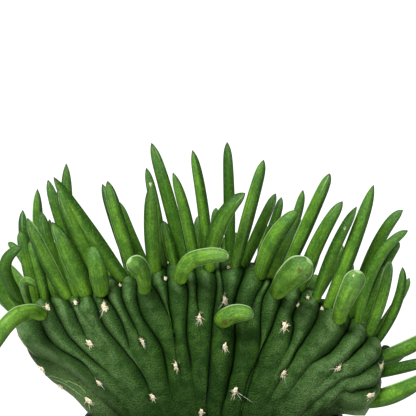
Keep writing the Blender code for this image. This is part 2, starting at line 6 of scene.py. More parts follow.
import bpy
import numpy as np
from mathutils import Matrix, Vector

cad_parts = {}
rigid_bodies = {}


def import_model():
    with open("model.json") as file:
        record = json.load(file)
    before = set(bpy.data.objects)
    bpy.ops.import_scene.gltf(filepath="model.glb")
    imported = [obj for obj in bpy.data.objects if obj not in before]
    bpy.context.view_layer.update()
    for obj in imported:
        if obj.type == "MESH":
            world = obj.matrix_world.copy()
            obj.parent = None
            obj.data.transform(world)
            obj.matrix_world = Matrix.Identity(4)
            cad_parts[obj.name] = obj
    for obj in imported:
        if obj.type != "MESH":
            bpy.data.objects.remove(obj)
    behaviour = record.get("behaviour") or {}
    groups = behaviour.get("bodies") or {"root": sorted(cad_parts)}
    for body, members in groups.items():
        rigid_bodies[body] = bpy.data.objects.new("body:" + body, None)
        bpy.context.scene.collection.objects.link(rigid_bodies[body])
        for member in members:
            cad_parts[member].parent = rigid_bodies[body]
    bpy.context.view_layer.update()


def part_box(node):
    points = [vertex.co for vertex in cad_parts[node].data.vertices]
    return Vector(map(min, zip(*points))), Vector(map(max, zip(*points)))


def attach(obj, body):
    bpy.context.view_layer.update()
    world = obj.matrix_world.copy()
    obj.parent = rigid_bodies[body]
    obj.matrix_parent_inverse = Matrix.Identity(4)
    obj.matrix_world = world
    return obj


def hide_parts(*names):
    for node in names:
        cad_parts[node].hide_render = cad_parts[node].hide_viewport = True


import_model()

# Pot
# A black nursery pot, moulded from thin polypropylene: a tapered wall, a stepped lip with a rolled edge, and
# six drain holes in a flat floor. It stands loose, and the soil fills it to below the lip.
MM = 0.001
POT_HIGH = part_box("pot")[1] / MM
RIM_RADIUS, POT_HEIGHT = POT_HIGH.x, POT_HIGH.z
FOOT_RADIUS = 0.7 * RIM_RADIUS
WALL, FLOOR, WALL_TRIM = 1.2, 1.8, 0.8
LIP_HEIGHT, LIP_STEP, LIP_WALL = 8.0, 3.8, 2.0
# Inside, the lip slopes in to the wall: how far above its step this starts and ends, and how far out it ends.
SLOPE_TOP, SLOPE_FOOT, SLOPE_OUT = 1.7, 0.7, 0.1
EDGE_ROUND, STEP_ROUND, FLOOR_ROUND = 0.9, 0.6, 1.2
DRAIN_HOLES, DRAIN_RADIUS, DRAIN_CIRCLE, DRAIN_MARGIN = 6, 4.5, 23.0, 3.0
DRILL_BOTTOM, DRILL_TOP, DRILL_SIDES = -2.0, 5.0, 40
POT_SIDES, WALL_STEPS, SHARP_ANGLE = 160, 24, 35.0
BLACK_PLASTIC, SCUFF_GREY, SOIL_DUST = (0.008, 0.008, 0.009), (0.022, 0.022, 0.024), (0.075, 0.055, 0.038)


def surface(name, points, index, marks=None):
    """A smooth mesh over grids of points (piece, row, column, 3), in millimetres.

    index says which point each place of a grid uses. Where two places use the same point the grid is welded,
    as at a pole or a seam. Faces look outwards where the rows rise and the columns run clockwise, seen from
    above. marks are values for each place, kept as attributes for the material.
    """
    corners = (index[:, :-1, :-1], index[:, 1:, :-1], index[:, 1:, 1:], index[:, :-1, 1:])
    faces = np.stack(corners, axis=-1).reshape(-1, 4)
    differs = faces != np.roll(faces, 1, axis=1)
    faces, differs = faces[differs.sum(axis=1) > 2], differs[differs.sum(axis=1) > 2]
    used, loops = np.unique(faces[differs], return_inverse=True)
    starts = np.concatenate([[0], np.cumsum(differs.sum(axis=1))[:-1]])
    mesh = bpy.data.meshes.new(name)
    mesh.vertices.add(len(used))
    mesh.loops.add(len(loops))
    mesh.polygons.add(len(faces))
    mesh.vertices.foreach_set("co", (points.reshape(-1, 3)[used] * MM).astype(np.float32).ravel())
    mesh.loops.foreach_set("vertex_index", loops.astype(np.int32))
    mesh.polygons.foreach_set("loop_start", starts.astype(np.int32))
    mesh.update(calc_edges=True)
    for mark, values in (marks or {}).items():
        values = np.broadcast_to(values, points.shape[:-1]).reshape(-1)[used]
        mesh.attributes.new(mark, "FLOAT", "POINT").data.foreach_set("value", values.astype(np.float32))
    mesh.shade_smooth()
    piece = bpy.data.objects.new(name, mesh)
    bpy.context.scene.collection.objects.link(piece)
    return piece


def ring_index(pieces, rows, columns):
    """The index of grids whose end rows are one point each, and whose last column meets the first."""
    index = np.arange(pieces * rows * columns).reshape(pieces, rows, columns)
    for pole in (0, -1):
        index[:, pole] = index[:, pole, :1]
    return np.concatenate([index, index[:, :, :1]], axis=2)


def turns(count):
    """Angles once round a circle, clockwise as seen from above, so that rows that rise face outwards."""
    return -2 * math.pi * np.arange(count) / count


def turned(name, profile, sides, middle=(0.0, 0.0)):
    """A profile of (radius, height), with its ends on the axis, carried round it: (r cos t, r sin t, h)."""
    radius, height = np.array(profile, float).T[:, None, :, None]
    x, y = middle[0] + radius * np.cos(turns(sides)), middle[1] + radius * np.sin(turns(sides))
    points = np.stack(np.broadcast_arrays(x, y, height), axis=-1)
    return surface(name, points, ring_index(*points.shape[:-1]))


def arc(middle, radius, first, last, steps=6):
    """Points of a circle's arc in the profile plane, from one angle to another in degrees."""
    turn = np.radians(np.linspace(first, last, steps))
    return [(middle[0] + radius * math.cos(t), middle[1] + radius * math.sin(t)) for t in turn]


def wall_radius(height):
    """Inner radius of the pot's plain wall, below the lip."""
    top = RIM_RADIUS - LIP_STEP - 2 * WALL + WALL_TRIM
    foot = FOOT_RADIUS - WALL_TRIM
    return foot + (top - foot) * (height - FLOOR) / (POT_HEIGHT - LIP_HEIGHT - FLOOR)


def operator(operation, swapped=False):
    """A Python operator that adds a Math node. Swapped, it is the reflected form, as in 1 - wire."""
    if swapped:
        return lambda wire, other: wire.finish.math(operation, other, wire)
    return lambda wire, other: wire.finish.math(operation, wire, other)


class Wire:
    """An output of a shader node. A sum written with it adds Math nodes."""

    def __init__(self, finish, socket):
        self.finish, self.socket = finish, socket

    __add__, __radd__ = operator("ADD"), operator("ADD", swapped=True)
    __sub__, __rsub__ = operator("SUBTRACT"), operator("SUBTRACT", swapped=True)
    __mul__, __rmul__ = operator("MULTIPLY"), operator("MULTIPLY", swapped=True)

    def step(self, low, high):
        """0 below low, 1 above high, and a smooth rise between them."""
        settings = {"interpolation_type": "SMOOTHSTEP"}
        return self.finish.node("MapRange", settings, {"Value": self, "From Min": low, "From Max": high})


class Finish:
    """A Principled material whose patterns are written as expressions on wires."""

    def __init__(self, name, constants):
        self.material = bpy.data.materials.new(name)
        self.material.use_nodes = True
        self.tree = self.material.node_tree
        self.shader = self.tree.nodes["Principled BSDF"]
        self.fill(self.shader, constants)

    def fill(self, node, sockets):
        """Give a node's sockets values or links."""
        for name, value in sockets.items():
            if isinstance(value, Wire):
                self.tree.links.new(value.socket, node.inputs[name])
            else:
                node.inputs[name].default_value = value

    def node(self, kind, settings=None, sockets=None, output=0):
        """A new node: its settings first, then its sockets. Gives one of its outputs."""
        made = self.tree.nodes.new("ShaderNode" + kind)
        for name, value in (settings or {}).items():
            setattr(made, name, value)
        self.fill(made, sockets or {})
        return Wire(self, made.outputs[output])

    def math(self, operation, *values):
        """A Math node on values and wires."""
        return self.node("Math", {"operation": operation}, dict(enumerate(values)))

    def place(self):
        """Object coordinates, in metres."""
        return self.node("TexCoord", output="Object")

    def mark(self, name):
        """A value that the piece carries at each point."""
        return self.node("Attribute", {"attribute_name": name}, output="Fac")

    def noise(self, size, detail=2.0, stretch=(1.0, 1.0, 1.0)):
        """Cloudy noise between 0 and 1 with features about size millimetres across."""
        place = self.node("Mapping", None, {"Vector": self.place(), "Scale": stretch})
        return self.node("TexNoise", None, {"Vector": place, "Scale": 1.0 / (size * MM), "Detail": detail})

    def mix(self, share, first, second):
        """Between two colours, each a wire or its red, green and blue."""
        first, second = (tint if isinstance(tint, Wire) else (*tint, 1.0) for tint in (first, second))
        return self.node("Mix", {"data_type": "RGBA"}, {0: share, 6: first, 7: second}, output=2)

    def coats(self, colour, *coats):
        """A colour with coats over it, one by one: how much of a coat shows, and its colour."""
        for share, tint in coats:
            colour = self.mix(share, colour, tint)
        return colour

    def lay(self, colour, rough, relief=None, height=0.0):
        """Give the shader a colour, a roughness, and a relief of 0 to 1 that is height millimetres high."""
        self.fill(self.shader, {"Base Color": colour, "Roughness": rough})
        if relief is not None:
            bump = self.node("Bump", None, {"Height": relief, "Distance": height * MM})
            self.fill(self.shader, {"Normal": bump})

    def onto(self, piece, slot):
        """Paint the piece, and let it ride on the one body. The slot is not used."""
        piece.data.materials.clear()
        piece.data.materials.append(self.material)
        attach(piece, "root")


def pot_finish():
    """Black plastic with a satin gloss, faint scuffs, and a film of soil dust on the inside."""
    plastic = Finish("black pot plastic", {"Specular IOR Level": 0.5, "IOR": 1.49})
    scuffs = plastic.noise(9.0, 5.0, stretch=(1.0, 1.0, 0.25)).step(0.5, 0.72)
    dust = plastic.noise(2.2, 6.0).step(0.52, 0.75) * plastic.mark("inside")
    colour = plastic.coats(BLACK_PLASTIC, (scuffs * 0.5, SCUFF_GREY), (dust * 0.55, SOIL_DUST))
    plastic.lay(colour, 0.27 + scuffs * 0.16 + dust * 0.4, plastic.noise(0.45, 2.0), 0.03)
    return plastic


def make_pot():
    """The pot turned from its profile, with the drain holes cut through, and its inside marked."""
    step, inner_top = POT_HEIGHT - LIP_HEIGHT, wall_radius(POT_HEIGHT - LIP_HEIGHT)
    wall_top = inner_top + WALL, step - STEP_ROUND
    wall = [(FOOT_RADIUS + (wall_top[0] - FOOT_RADIUS) * k / WALL_STEPS,
             EDGE_ROUND + (wall_top[1] - EDGE_ROUND) * k / WALL_STEPS) for k in range(1, WALL_STEPS)]
    drain_edges = [DRAIN_CIRCLE + side * (DRAIN_RADIUS + DRAIN_MARGIN) for side in (-1, 1)]
    outside = [(0.0, 0.0)] + [(radius, 0.0) for radius in drain_edges]
    outside += arc((FOOT_RADIUS - EDGE_ROUND, EDGE_ROUND), EDGE_ROUND, -90, 0) + wall + [wall_top]
    outside += arc((RIM_RADIUS - EDGE_ROUND, step + STEP_ROUND), STEP_ROUND, -90, 0)
    rim = arc((RIM_RADIUS - EDGE_ROUND, POT_HEIGHT - EDGE_ROUND), EDGE_ROUND, 0, 180, 12)
    inside = [(RIM_RADIUS - LIP_WALL, step + SLOPE_TOP), (inner_top + SLOPE_OUT, step + SLOPE_FOOT)]
    inside += arc((wall_radius(FLOOR + 1.0) - FLOOR_ROUND, FLOOR + FLOOR_ROUND), FLOOR_ROUND, 0, -90)
    inside += [(radius, FLOOR) for radius in drain_edges[::-1]] + [(0.0, FLOOR)]
    pot = turned("nursery_pot", outside + rim + inside, POT_SIDES)
    drills = bpy.data.collections.new("drills")
    shaft = [(0.0, DRILL_BOTTOM), (DRAIN_RADIUS, DRILL_BOTTOM), (DRAIN_RADIUS, DRILL_TOP), (0.0, DRILL_TOP)]
    for k in range(DRAIN_HOLES):
        turn = 2 * math.pi * (k + 0.5) / DRAIN_HOLES
        middle = DRAIN_CIRCLE * math.cos(turn), DRAIN_CIRCLE * math.sin(turn)
        drills.objects.link(turned("drill", shaft, DRILL_SIDES, middle))
    cut = pot.modifiers.new("drain holes", "BOOLEAN")
    cut.operand_type, cut.collection, cut.solver = "COLLECTION", drills, "EXACT"
    graph = bpy.context.evaluated_depsgraph_get()
    pot.data = bpy.data.meshes.new_from_object(pot.evaluated_get(graph))
    pot.modifiers.clear()
    for drill in list(drills.objects):
        bpy.data.objects.remove(drill)
    bpy.data.collections.remove(drills)
    places = np.empty(len(pot.data.vertices) * 3)
    pot.data.vertices.foreach_get("co", places)
    x, y, z = places.reshape(-1, 3).T / MM
    inside = (np.hypot(x, y) < wall_radius(z) + 0.5) & (z > FLOOR - 0.1)
    pot.data.attributes.new("inside", "FLOAT", "POINT").data.foreach_set("value", inside.astype(np.float32))
    pot.data.shade_smooth()
    pot.data.set_sharp_from_angle(angle=math.radians(SHARP_ANGLE))
    return pot


pot = make_pot()
pot_finish().onto(pot, "pot_plastic")
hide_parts("pot")

# Soil
# A dark peat mix with bark crumbs, grit and a few white perlite grains, filled in loose and settled to 10 mm
# below the lip. The stem stands in it.
SOIL_LEVEL, SOIL_DIP, SOIL_GAP, SOIL_ROUND = 78.0, 1.5, 0.45, 1.6
SOIL_BOTTOM = FLOOR + SOIL_GAP
SOIL_RINGS, SOIL_SIDES, TOP_START = 110, 300, 0.994
CRUMBS, CRUMB_ROWS, CRUMB_SIDES, CRUMB_SEED = 900, 6, 7, 5
CRUMB_LEAST, CRUMB_SPREAD, CRUMB_MARGIN = 0.45, 1.5, 2.0
DARK_PEAT, BROWN_PEAT, PEAT_FIBRE = (0.030, 0.019, 0.012), (0.060, 0.040, 0.025), (0.13, 0.085, 0.05)
# The two shades of each sort of crumb, and the kind, from 0 to 1, from which on a crumb is grit or perlite.
BARK, GRIT = ((0.028, 0.017, 0.010), (0.11, 0.065, 0.035)), ((0.10, 0.09, 0.08), (0.24, 0.21, 0.18))
PERLITE = ((0.55, 0.53, 0.49), (0.74, 0.72, 0.69))
GRIT_FROM, PERLITE_FROM = 0.78, 0.93


def soil_height(x, y):
    """Height of the soil: its level, plus two slow swells and crumbly ripples (sines of x and y)."""
    swell = 0.7 * np.sin(0.21 * x + 1.3) * np.cos(0.17 * y)
    grit = 0.45 * np.sin(0.83 * x + 0.5 * y) * np.sin(0.71 * y - 0.9)
    crumble = 0.22 * np.sin(2.3 * x + 1.1 * y) * np.sin(2.9 * y - 1.7 * x)
    crumble += 0.15 * np.sin(5.1 * x) * np.sin(4.7 * y)
    return SOIL_LEVEL + swell + grit + crumble


def soil_edge():
    """The soil's radius at its top."""
    return wall_radius(SOIL_LEVEL - SOIL_DIP) - SOIL_GAP


def make_soil():
    """The soil as a turned solid: up its side, then inwards over the top, whose rings take soil_height."""
    foot = wall_radius(SOIL_BOTTOM) - SOIL_GAP
    side = [(0.0, SOIL_BOTTOM), (foot - SOIL_ROUND, SOIL_BOTTOM), (foot, SOIL_BOTTOM + SOIL_ROUND),
            (soil_edge(), SOIL_LEVEL - SOIL_DIP)]
    radius = np.concatenate([[r for r, _ in side], soil_edge() * np.linspace(TOP_START, 0.0, SOIL_RINGS)])
    turn = turns(SOIL_SIDES)
    x, y = radius[:, None] * np.cos(turn), radius[:, None] * np.sin(turn)
    z = soil_height(x, y)
    z[: len(side)] = np.array([h for _, h in side])[:, None]
    return surface("potting_soil", np.stack([x, y, z], axis=-1)[None], ring_index(1, *x.shape))


def make_crumbs():
    """Crumbs strewn on the soil: small balls whose radius is dented by a wave with its own phases."""
    draw = np.random.default_rng(CRUMB_SEED)
    far = (soil_edge() - CRUMB_MARGIN) * np.sqrt(draw.random(CRUMBS))
    way = 2 * math.pi * draw.random(CRUMBS)
    size = CRUMB_LEAST + CRUMB_SPREAD * draw.random(CRUMBS) ** 3
    middle = np.stack([far * np.cos(way), far * np.sin(way)], axis=-1)
    middle = np.concatenate([middle, soil_height(*middle.T)[:, None] + 0.35 * size[:, None]], axis=1)
    lean = np.linspace(-math.pi / 2, math.pi / 2, CRUMB_ROWS)
    lean, turn = np.meshgrid(lean, turns(CRUMB_SIDES), indexing="ij")
    dent = draw.random((CRUMBS, 3, 1, 1)) * 6.0
    ball = 1 + 0.25 * np.sin(2 * turn + dent[:, 0]) * np.cos(lean) + 0.22 * np.sin(3 * lean + dent[:, 1])
    flat = 0.45 + 0.5 * draw.random((CRUMBS, 1, 1))
    across = np.stack([np.cos(lean) * np.cos(turn), np.cos(lean) * np.sin(turn), np.sin(lean)], axis=-1)
    points = across * (ball * size[:, None, None])[..., None]
    points[..., 2] *= flat
    points += middle[:, None, None, :]
    kind = draw.random((CRUMBS, 1, 1))
    return surface("soil_crumbs", points, ring_index(CRUMBS, *lean.shape), {"kind": kind})


def soil_finish():
    """Peat: dark brown with browner patches and paler fibres, and a strong crumbly bump."""
    peat = Finish("potting soil", {"Specular IOR Level": 0.2})
    patch = peat.noise(14.0, 3.0).step(0.4, 0.65)
    fibre = peat.noise(0.9, 6.0, stretch=(1.0, 0.4, 1.0)).step(0.55, 0.8)
    colour = peat.coats(DARK_PEAT, (patch, BROWN_PEAT), (fibre, PEAT_FIBRE))
    peat.lay(colour, 1.0 - patch * 0.12, peat.noise(1.3, 8.0), 0.9)
    return peat


def crumb_finish():
    """Bark and peat crumbs for most, grey grit for some, and white perlite for a few."""
    mixed = Finish("soil crumbs", {"Specular IOR Level": 0.25})
    kind, speckle = mixed.mark("kind"), mixed.noise(0.5, 4.0)
    bark, grit, perlite = (mixed.mix(speckle, *shades) for shades in (BARK, GRIT, PERLITE))
    colour = mixed.coats(bark, (kind.step(GRIT_FROM, GRIT_FROM + 0.01), grit),
                         (kind.step(PERLITE_FROM, PERLITE_FROM + 0.01), perlite))
    mixed.lay(colour, 0.9, speckle, 0.25)
    return mixed


soil = make_soil()
soil_finish().onto(soil, "soil_mix")
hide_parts("soil")
crumb_finish().onto(make_crumbs(), "soil_mix")

# Stem
# One crested stem, spread into a fan because its growing tip became a line. Long rounded swellings run up
# both faces and end in blunt domes along the rim, with sharp furrows between them. The skin is waxy and
# finely dotted, and the foot stands in the soil.
# The rays of the fan meet at the hub. Their angles are in degrees from upright, positive to the right.
HUB_HEIGHT, FOOT_HEIGHT, FOOT_HALF_WIDTH = 65.5, 60.0, 16.0
FAN_LEFT, FAN_RIGHT = -59.5, 68.0
# The right side edge is lifted over the pot's lip: by how much, at parts of the reach.
RIGHT_LIFT = ((0.6, 0.0), (0.7, 0.5), (0.79, 3.6), (0.85, 3.1), (0.93, 1.1), (1.0, 0.0))
LIFT_RAY, LIFT_SPREAD = 50.0, 16.0
HALF_THICKNESS, FOOT_THINNING, RIM_ROUND = 15.0, 0.3, 9.0
BACKWARD_BEND, WAVE_DEPTH, WAVE_LENGTH, HALF_SPAN = 8.0, 1.6, 15.0, 70.0
# The fan's outline: the angle of a ray, and how far the stem reaches along it.
OUTLINE = (
    (-59.5, 73.5), (-57, 86), (-54.5, 93.4), (-51, 96.3), (-45, 95.8), (-36, 89), (-24, 86), (-12, 84.5),
    (0, 83.5), (12, 83), (24, 81), (34, 80.5), (42, 82), (50, 82), (55, 79), (60, 74.5), (64.5, 69),
    (68, 62),
)
# Places on the front are given as the eye sees them: (across, up) on a sheet held square to the line of
# sight, with its middle SHEET_MIDDLE at the point SIGHT_MIDDLE.
EYE_DISTANCE, EYE_ANGLE = 700.0, 8.0
SIGHT_MIDDLE, SHEET_MIDDLE = (-2.25, 0.0, 168.8), (-2.25, 166.75)
# Furrows of the front as seen, from the rim to the lower end, and the fan's left side edge in the same way.
FURROWS = (
    ((-70.1, 112.8), (-67.5, 110.3), (-63.8, 109), (-60, 107.7), (-57.4, 106.5)),
    ((-66, 125.5), (-64.5, 120.2), (-61.9, 116.5), (-57.8, 113.1), (-54, 110.9), (-50.2, 108.6),
     (-47.2, 105.6), (-45, 102.6)),
    ((-60.4, 130), (-58.9, 125.5), (-57, 122.1), (-54.8, 118.4), (-52.1, 115.4), (-48.4, 111.6),
     (-43.5, 107.5), (-40.5, 105.2)),
    ((-54.4, 131.5), (-52.5, 128.1), (-51.4, 124.8), (-49.9, 121.8), (-48.4, 118.4)),
    ((-50.2, 131.9), (-50.6, 129.2), (-51.2, 127)),
    ((-45.8, 133.4), (-44.2, 130), (-43.1, 125.9), (-41.6, 122.5), (-39.4, 119.5), (-36.4, 116.1),
     (-32.2, 111.2), (-28.5, 106.8), (-25.9, 101.9), (-24.4, 98.1)),
    ((-40.1, 133), (-38.2, 130), (-36.4, 127), (-34.9, 124), (-33.8, 120.6), (-32.6, 117.2),
     (-31.9, 114.6)),
    ((-35.2, 137.5), (-34.7, 133), (-33.4, 128.9), (-31.5, 125.1), (-29.2, 121), (-28.1, 118.8)),
    ((-28.9, 139.4), (-29.2, 134.5), (-28.5, 130), (-27.4, 126.6), (-25.5, 123.2), (-23.2, 119.9),
     (-21, 116.5), (-19.5, 113.5), (-18.4, 109), (-17.6, 104.1), (-17.2, 100.4)),
    ((-23.2, 138.2), (-21.4, 135.6), (-19.9, 132.6), (-18.4, 129.6), (-17.2, 127)),
    ((-17.6, 140.1), (-17.1, 134.1), (-16.7, 128.5), (-15.9, 124), (-15.4, 119.1), (-14.8, 113.5),
     (-14.6, 110.5)),
    ((-10.5, 139), (-9.6, 135.2), (-9.8, 130.4), (-10.1, 125.5), (-10.3, 120.2), (-9.8, 115.4),
     (-9, 110.9), (-8.4, 106)),
    ((-7.1, 143.9), (-6.4, 139), (-6.4, 134.1), (-6, 130.4), (-5.6, 128.1)),
    ((0, 143.9), (0.9, 139), (0.6, 133), (-0.4, 125.5), (-0.9, 118), (-1.5, 110.5), (-1.9, 104.1),
     (-2.6, 97.8), (-3.8, 92.9)),
    ((2.6, 143.5), (3.4, 138.2), (3.8, 134.5)),
    ((11.6, 143.1), (10.1, 138.6), (9, 135.2), (7.9, 131.5), (8.1, 125.5), (8.2, 120.2), (8.2, 115.4),
     (7.9, 109.8), (7.1, 105.2), (6, 101.5), (4.9, 96.6), (3.4, 92.5)),
    ((18.4, 138.2), (16.5, 134.9), (15, 131.9), (13.9, 128.9)),
    ((21, 137.9), (18.8, 133.8), (17.8, 128.9), (17.6, 122.9), (17.6, 118), (17.2, 113.5)),
    ((25.9, 133.8), (24.4, 128.9), (22.9, 124.8), (21.4, 120.6), (19.5, 116.9), (17.2, 112.8), (15, 108.6),
     (13.1, 104.9), (11.6, 100.8)),
    ((32.6, 132.6), (30.9, 129.2), (29.6, 125.9), (30, 121.4), (29.2, 117.2), (27.8, 113.5)),
    ((40.5, 131.5), (39.8, 127.8), (38.1, 123.6), (35.6, 119.5), (33.4, 116.1), (31.1, 112.8),
     (28.9, 108.2), (27.8, 106.4)),
    ((52.1, 124.4), (50.2, 120.6), (48, 117.2), (45.8, 114.2), (43.1, 111.6), (39.8, 109.8), (36.8, 108.2)),
    ((57.8, 117.2), (55.9, 115), (53.6, 112.8), (51.4, 110.5), (49.1, 108.6)),
    ((63.8, 111.6), (61.1, 108.6), (58.5, 106.4), (55.5, 104.1), (51.8, 102.6), (48.4, 101.9)),
    ((62.6, 102.6), (60.8, 100), (57.8, 98.5), (54, 97.8), (51, 96.8), (49.1, 96.6)),
    ((60, 93.6), (57, 91.8), (52.9, 90.6), (47.2, 90.1), (43.5, 89.5)),
)
LEFT_EDGE = ((-60.8, 102.6), (-58.9, 100.8), (-56.6, 99.1), (-52.1, 95.5), (-47.5, 90.4), (-44.2, 86.5))
# Furrows that are soft folds, counted from the left, and how deep they are beside the sharp ones.
SOFT_FURROWS = {0: 0.8, 23: 0.6, 25: 0.35}
# Thin pale ridges along the side edges, as seen.
RIDGES = (
    ((-72.8, 121.4), (-71.1, 116), (-67.8, 111.5)),
    ((-64.5, 105.2), (-59.9, 103.6), (-54.9, 102), (-50.8, 99.9), (-48.3, 97.4), (-47.5, 95.3)),
    ((-59.9, 102.4), (-55.8, 100.8), (-51.6, 97.8), (-48.4, 95.3)),
    ((61.5, 100.8), (61.5, 97.4), (60.4, 94), (58.1, 91.8)),
)
RIDGE_WIDTH = 0.28
# Woolly spots of the front as seen, most of them at the lower end of a furrow.
SPOTS = (
    (-62.4, 129.4), (-40.9, 129.6), (-46.9, 115.8), (-27, 116.5), (-5.4, 125.5), (-14.2, 107.3),
    (-43.7, 100.8), (-23.2, 95.5), (-64.9, 106.4), (-47.2, 94.4), (-4.7, 89.9), (4.1, 132.2), (4.1, 114.6),
    (26.6, 122.5), (26.2, 104.5), (46.9, 106.4), (10.1, 97.4), (62.6, 107.3), (58.8, 96.6), (-57.8, 100),
)
# Small ones at the roots of leaves, on the rim.
RIM_SPOTS = (
    (-35.8, 138.6), (-18.4, 140.6), (32.2, 131.1), (41.4, 130), (35.2, 133.2), (-51.8, 131), (5.4, 144.6),
)
RIM_SPOT_SIZE = 0.55
# CREASE_WIDTH is how wide the line of painted shade in a sharp furrow is, and FURROW_SHADE how much of the
# painted flank shade falls on a furrow's right side.
FURROW_DEPTH, ROUNDNESS, CREASE_WIDTH = 3.6, 0.85, 0.26
FURROW_FADE, LINE_FADE, FURROW_TOP, FURROW_SHADE = 0.08, 0.03, 0.75, 0.65
VALLEY_DEPTH, VALLEY_LENGTH = 0.4, 0.3
BACK_SEED = 7
SPOT_PIT, PIT_RADIUS = 0.7, 1.6
DOME_RISE, DOME_MIDDLE, DOME_SPREAD = 0.9, 0.7, 0.35
SWELLING_COLUMNS, FACE_ROWS, RIM_ROWS = 13, 90, 64
RIDGE_ROWS, RIDGE_SIDES, EDGE_DROOP, DOT_SIZE = 48, 8, 0.3, 0.55
# The steps by which a seen place is found on the stem, and how much of the miss each of them takes away.
SEEK_STEPS, SEEK_SHARE = 30, 0.6
# Between which parts of the reach a furrow of the back ends. Below LEAST_REACH furrows get no narrower.
BACK_END_PARTS, LEAST_REACH = (0.45, 0.8), 12.0


def smooth_step(value):
    """0 below 0, 1 above 1, and a smooth rise between them."""
    x = np.clip(value, 0.0, 1.0)
    return x * x * (3.0 - 2.0 * x)


def smooth_curve(x, knots):
    """A smooth curve through (position, value) knots: cubic pieces with the knots' own slopes."""
    xs, ys = np.array(knots, float).T
    slope = np.gradient(ys, xs)
    k = np.clip(np.searchsorted(xs, x, side="right") - 1, 0, len(xs) - 2)
    gap = xs[k + 1] - xs[k]
    s = (x - xs[k]) / gap
    first = (1 + 2 * s) * (1 - s) ** 2 * ys[k] + s * (1 - s) ** 2 * gap * slope[k]
    second = s * s * (3 - 2 * s) * ys[k + 1] + s * s * (s - 1) * gap * slope[k + 1]
    return first + second


def curves(x, places, columns):
    """Smooth curves at x, each through one column of values at the places."""
    return np.stack([smooth_curve(x, np.stack([places, values], axis=-1)) for values in columns], axis=-1)


def unit(vectors):
    """The vectors made one long."""
    return vectors / np.maximum(np.linalg.norm(vectors, axis=-1, keepdims=True), 1e-9)


def rim_reach(fan):
    """How far the stem reaches along a ray."""
    return smooth_curve(np.clip(fan, FAN_LEFT, FAN_RIGHT), OUTLINE)


def end_round(fan):
    """1 in the middle of the fan, falling to 0 at its two side edges, so that they are round."""
    across = np.abs((np.asarray(fan, float) - (FAN_LEFT + FAN_RIGHT) / 2) / ((FAN_RIGHT - FAN_LEFT) / 2))
    return np.sqrt(np.clip(1.0 - across**6, 0.0, 1.0))


def ray_drift(fan, part):
    """How far a ray has swung aside, in degrees, at a part of its whole reach.

    A furrow follows its own guide from the rim to its lower end, and stays as it is below that. A ray between
    two furrows goes with both, by its nearness to each at the rim.
    """
    drifts = np.stack([smooth_curve(np.clip(part, guide[0, 0], guide[-1, 0]), guide) for guide in GUIDES])
    left = np.clip(np.searchsorted(RAYS, fan) - 1, 0, len(RAYS) - 2)
    near = np.clip((fan - RAYS[left]) / (RAYS[left + 1] - RAYS[left]), 0.0, 1.0)
    first, second = (np.take_along_axis(drifts, k[None], 0)[0] for k in (left, left + 1))
    return first * (1 - near) + second * near


def along_ray(fan, girth):
    """For a place of the stem: its share of the face, its turn over the rim, and its way from the hub."""
    share = np.clip(2.0 - np.abs(girth), 0.0, 1.0)
    over = np.clip(girth, -1.0, 1.0) * math.pi / 2
    return share, over, share * (rim_reach(fan) - RIM_ROUND) + RIM_ROUND * np.cos(over)


def part_of(fan, girth):
    """Part of the ray's whole reach at a place of the stem."""
    return along_ray(fan, girth)[2] / rim_reach(fan)


def skin(fan, girth, drifted=True):
    """A point of the smooth stem.

    fan is the ray's angle. girth goes from -2 at the front foot to -1 at the front shoulder, 0 on top of the
    rim, 1 at the back shoulder and 2 at the back foot. On a face the point lies on the ray at its share of
    the reach; over the rim it follows half an ellipse.
    """
    fan, girth = np.broadcast_arrays(np.asarray(fan, float), np.asarray(girth, float))
    share, over, reach = along_ray(fan, girth)
    part = reach / rim_reach(fan)
    ray = np.radians(fan + (ray_drift(fan, part) if drifted else 0.0))
    foot = (1.0 - share) ** 3
    x = reach * np.sin(ray) + foot * FOOT_HALF_WIDTH * fan / FAN_RIGHT
    lift = smooth_curve(np.clip(part, RIGHT_LIFT[0][0], 1.0), RIGHT_LIFT)
    lift = lift * smooth_step((fan - LIFT_RAY) / LIFT_SPREAD)
    z = HUB_HEIGHT + reach * np.cos(ray) + foot * (FOOT_HEIGHT - HUB_HEIGHT) + lift
    half = HALF_THICKNESS * (1.0 - FOOT_THINNING * (1.0 - share) ** 2) * end_round(fan)
    y = half * np.sin(over) + BACKWARD_BEND * (x / HALF_SPAN) ** 2 + WAVE_DEPTH * np.sin(x / WAVE_LENGTH)
    return np.stack([x, y, z], axis=-1)


def skin_normal(fan, girth):
    """The unit normal of the smooth stem, from two small steps along it."""
    fan, girth = np.asarray(fan), np.asarray(girth)
    along = skin(fan + 0.3, girth) - skin(fan - 0.3, girth)
    up = skin(fan, girth + 0.01) - skin(fan, girth - 0.01)
    return unit(np.cross(along, up))


def sighted(across, up, depth):
    """The point at this depth (y) that the eye sees at (across, up) on the sheet."""
    tilt, middle = math.radians(EYE_ANGLE), np.array(SIGHT_MIDDLE)
    eye = middle + EYE_DISTANCE * np.array([0.0, -math.cos(tilt), math.sin(tilt)])
    right, upright = np.array([1.0, 0.0, 0.0]), np.array([0.0, math.sin(tilt), math.cos(tilt)])
    across, up, depth = (np.asarray(v, float)[..., None] for v in (across, up, depth))
    place = middle + right * (across - SHEET_MIDDLE[0]) + upright * (up - SHEET_MIDDLE[1])
    return eye + (place - eye) * (depth - eye[1]) / (place[..., 1:2] - eye[1])


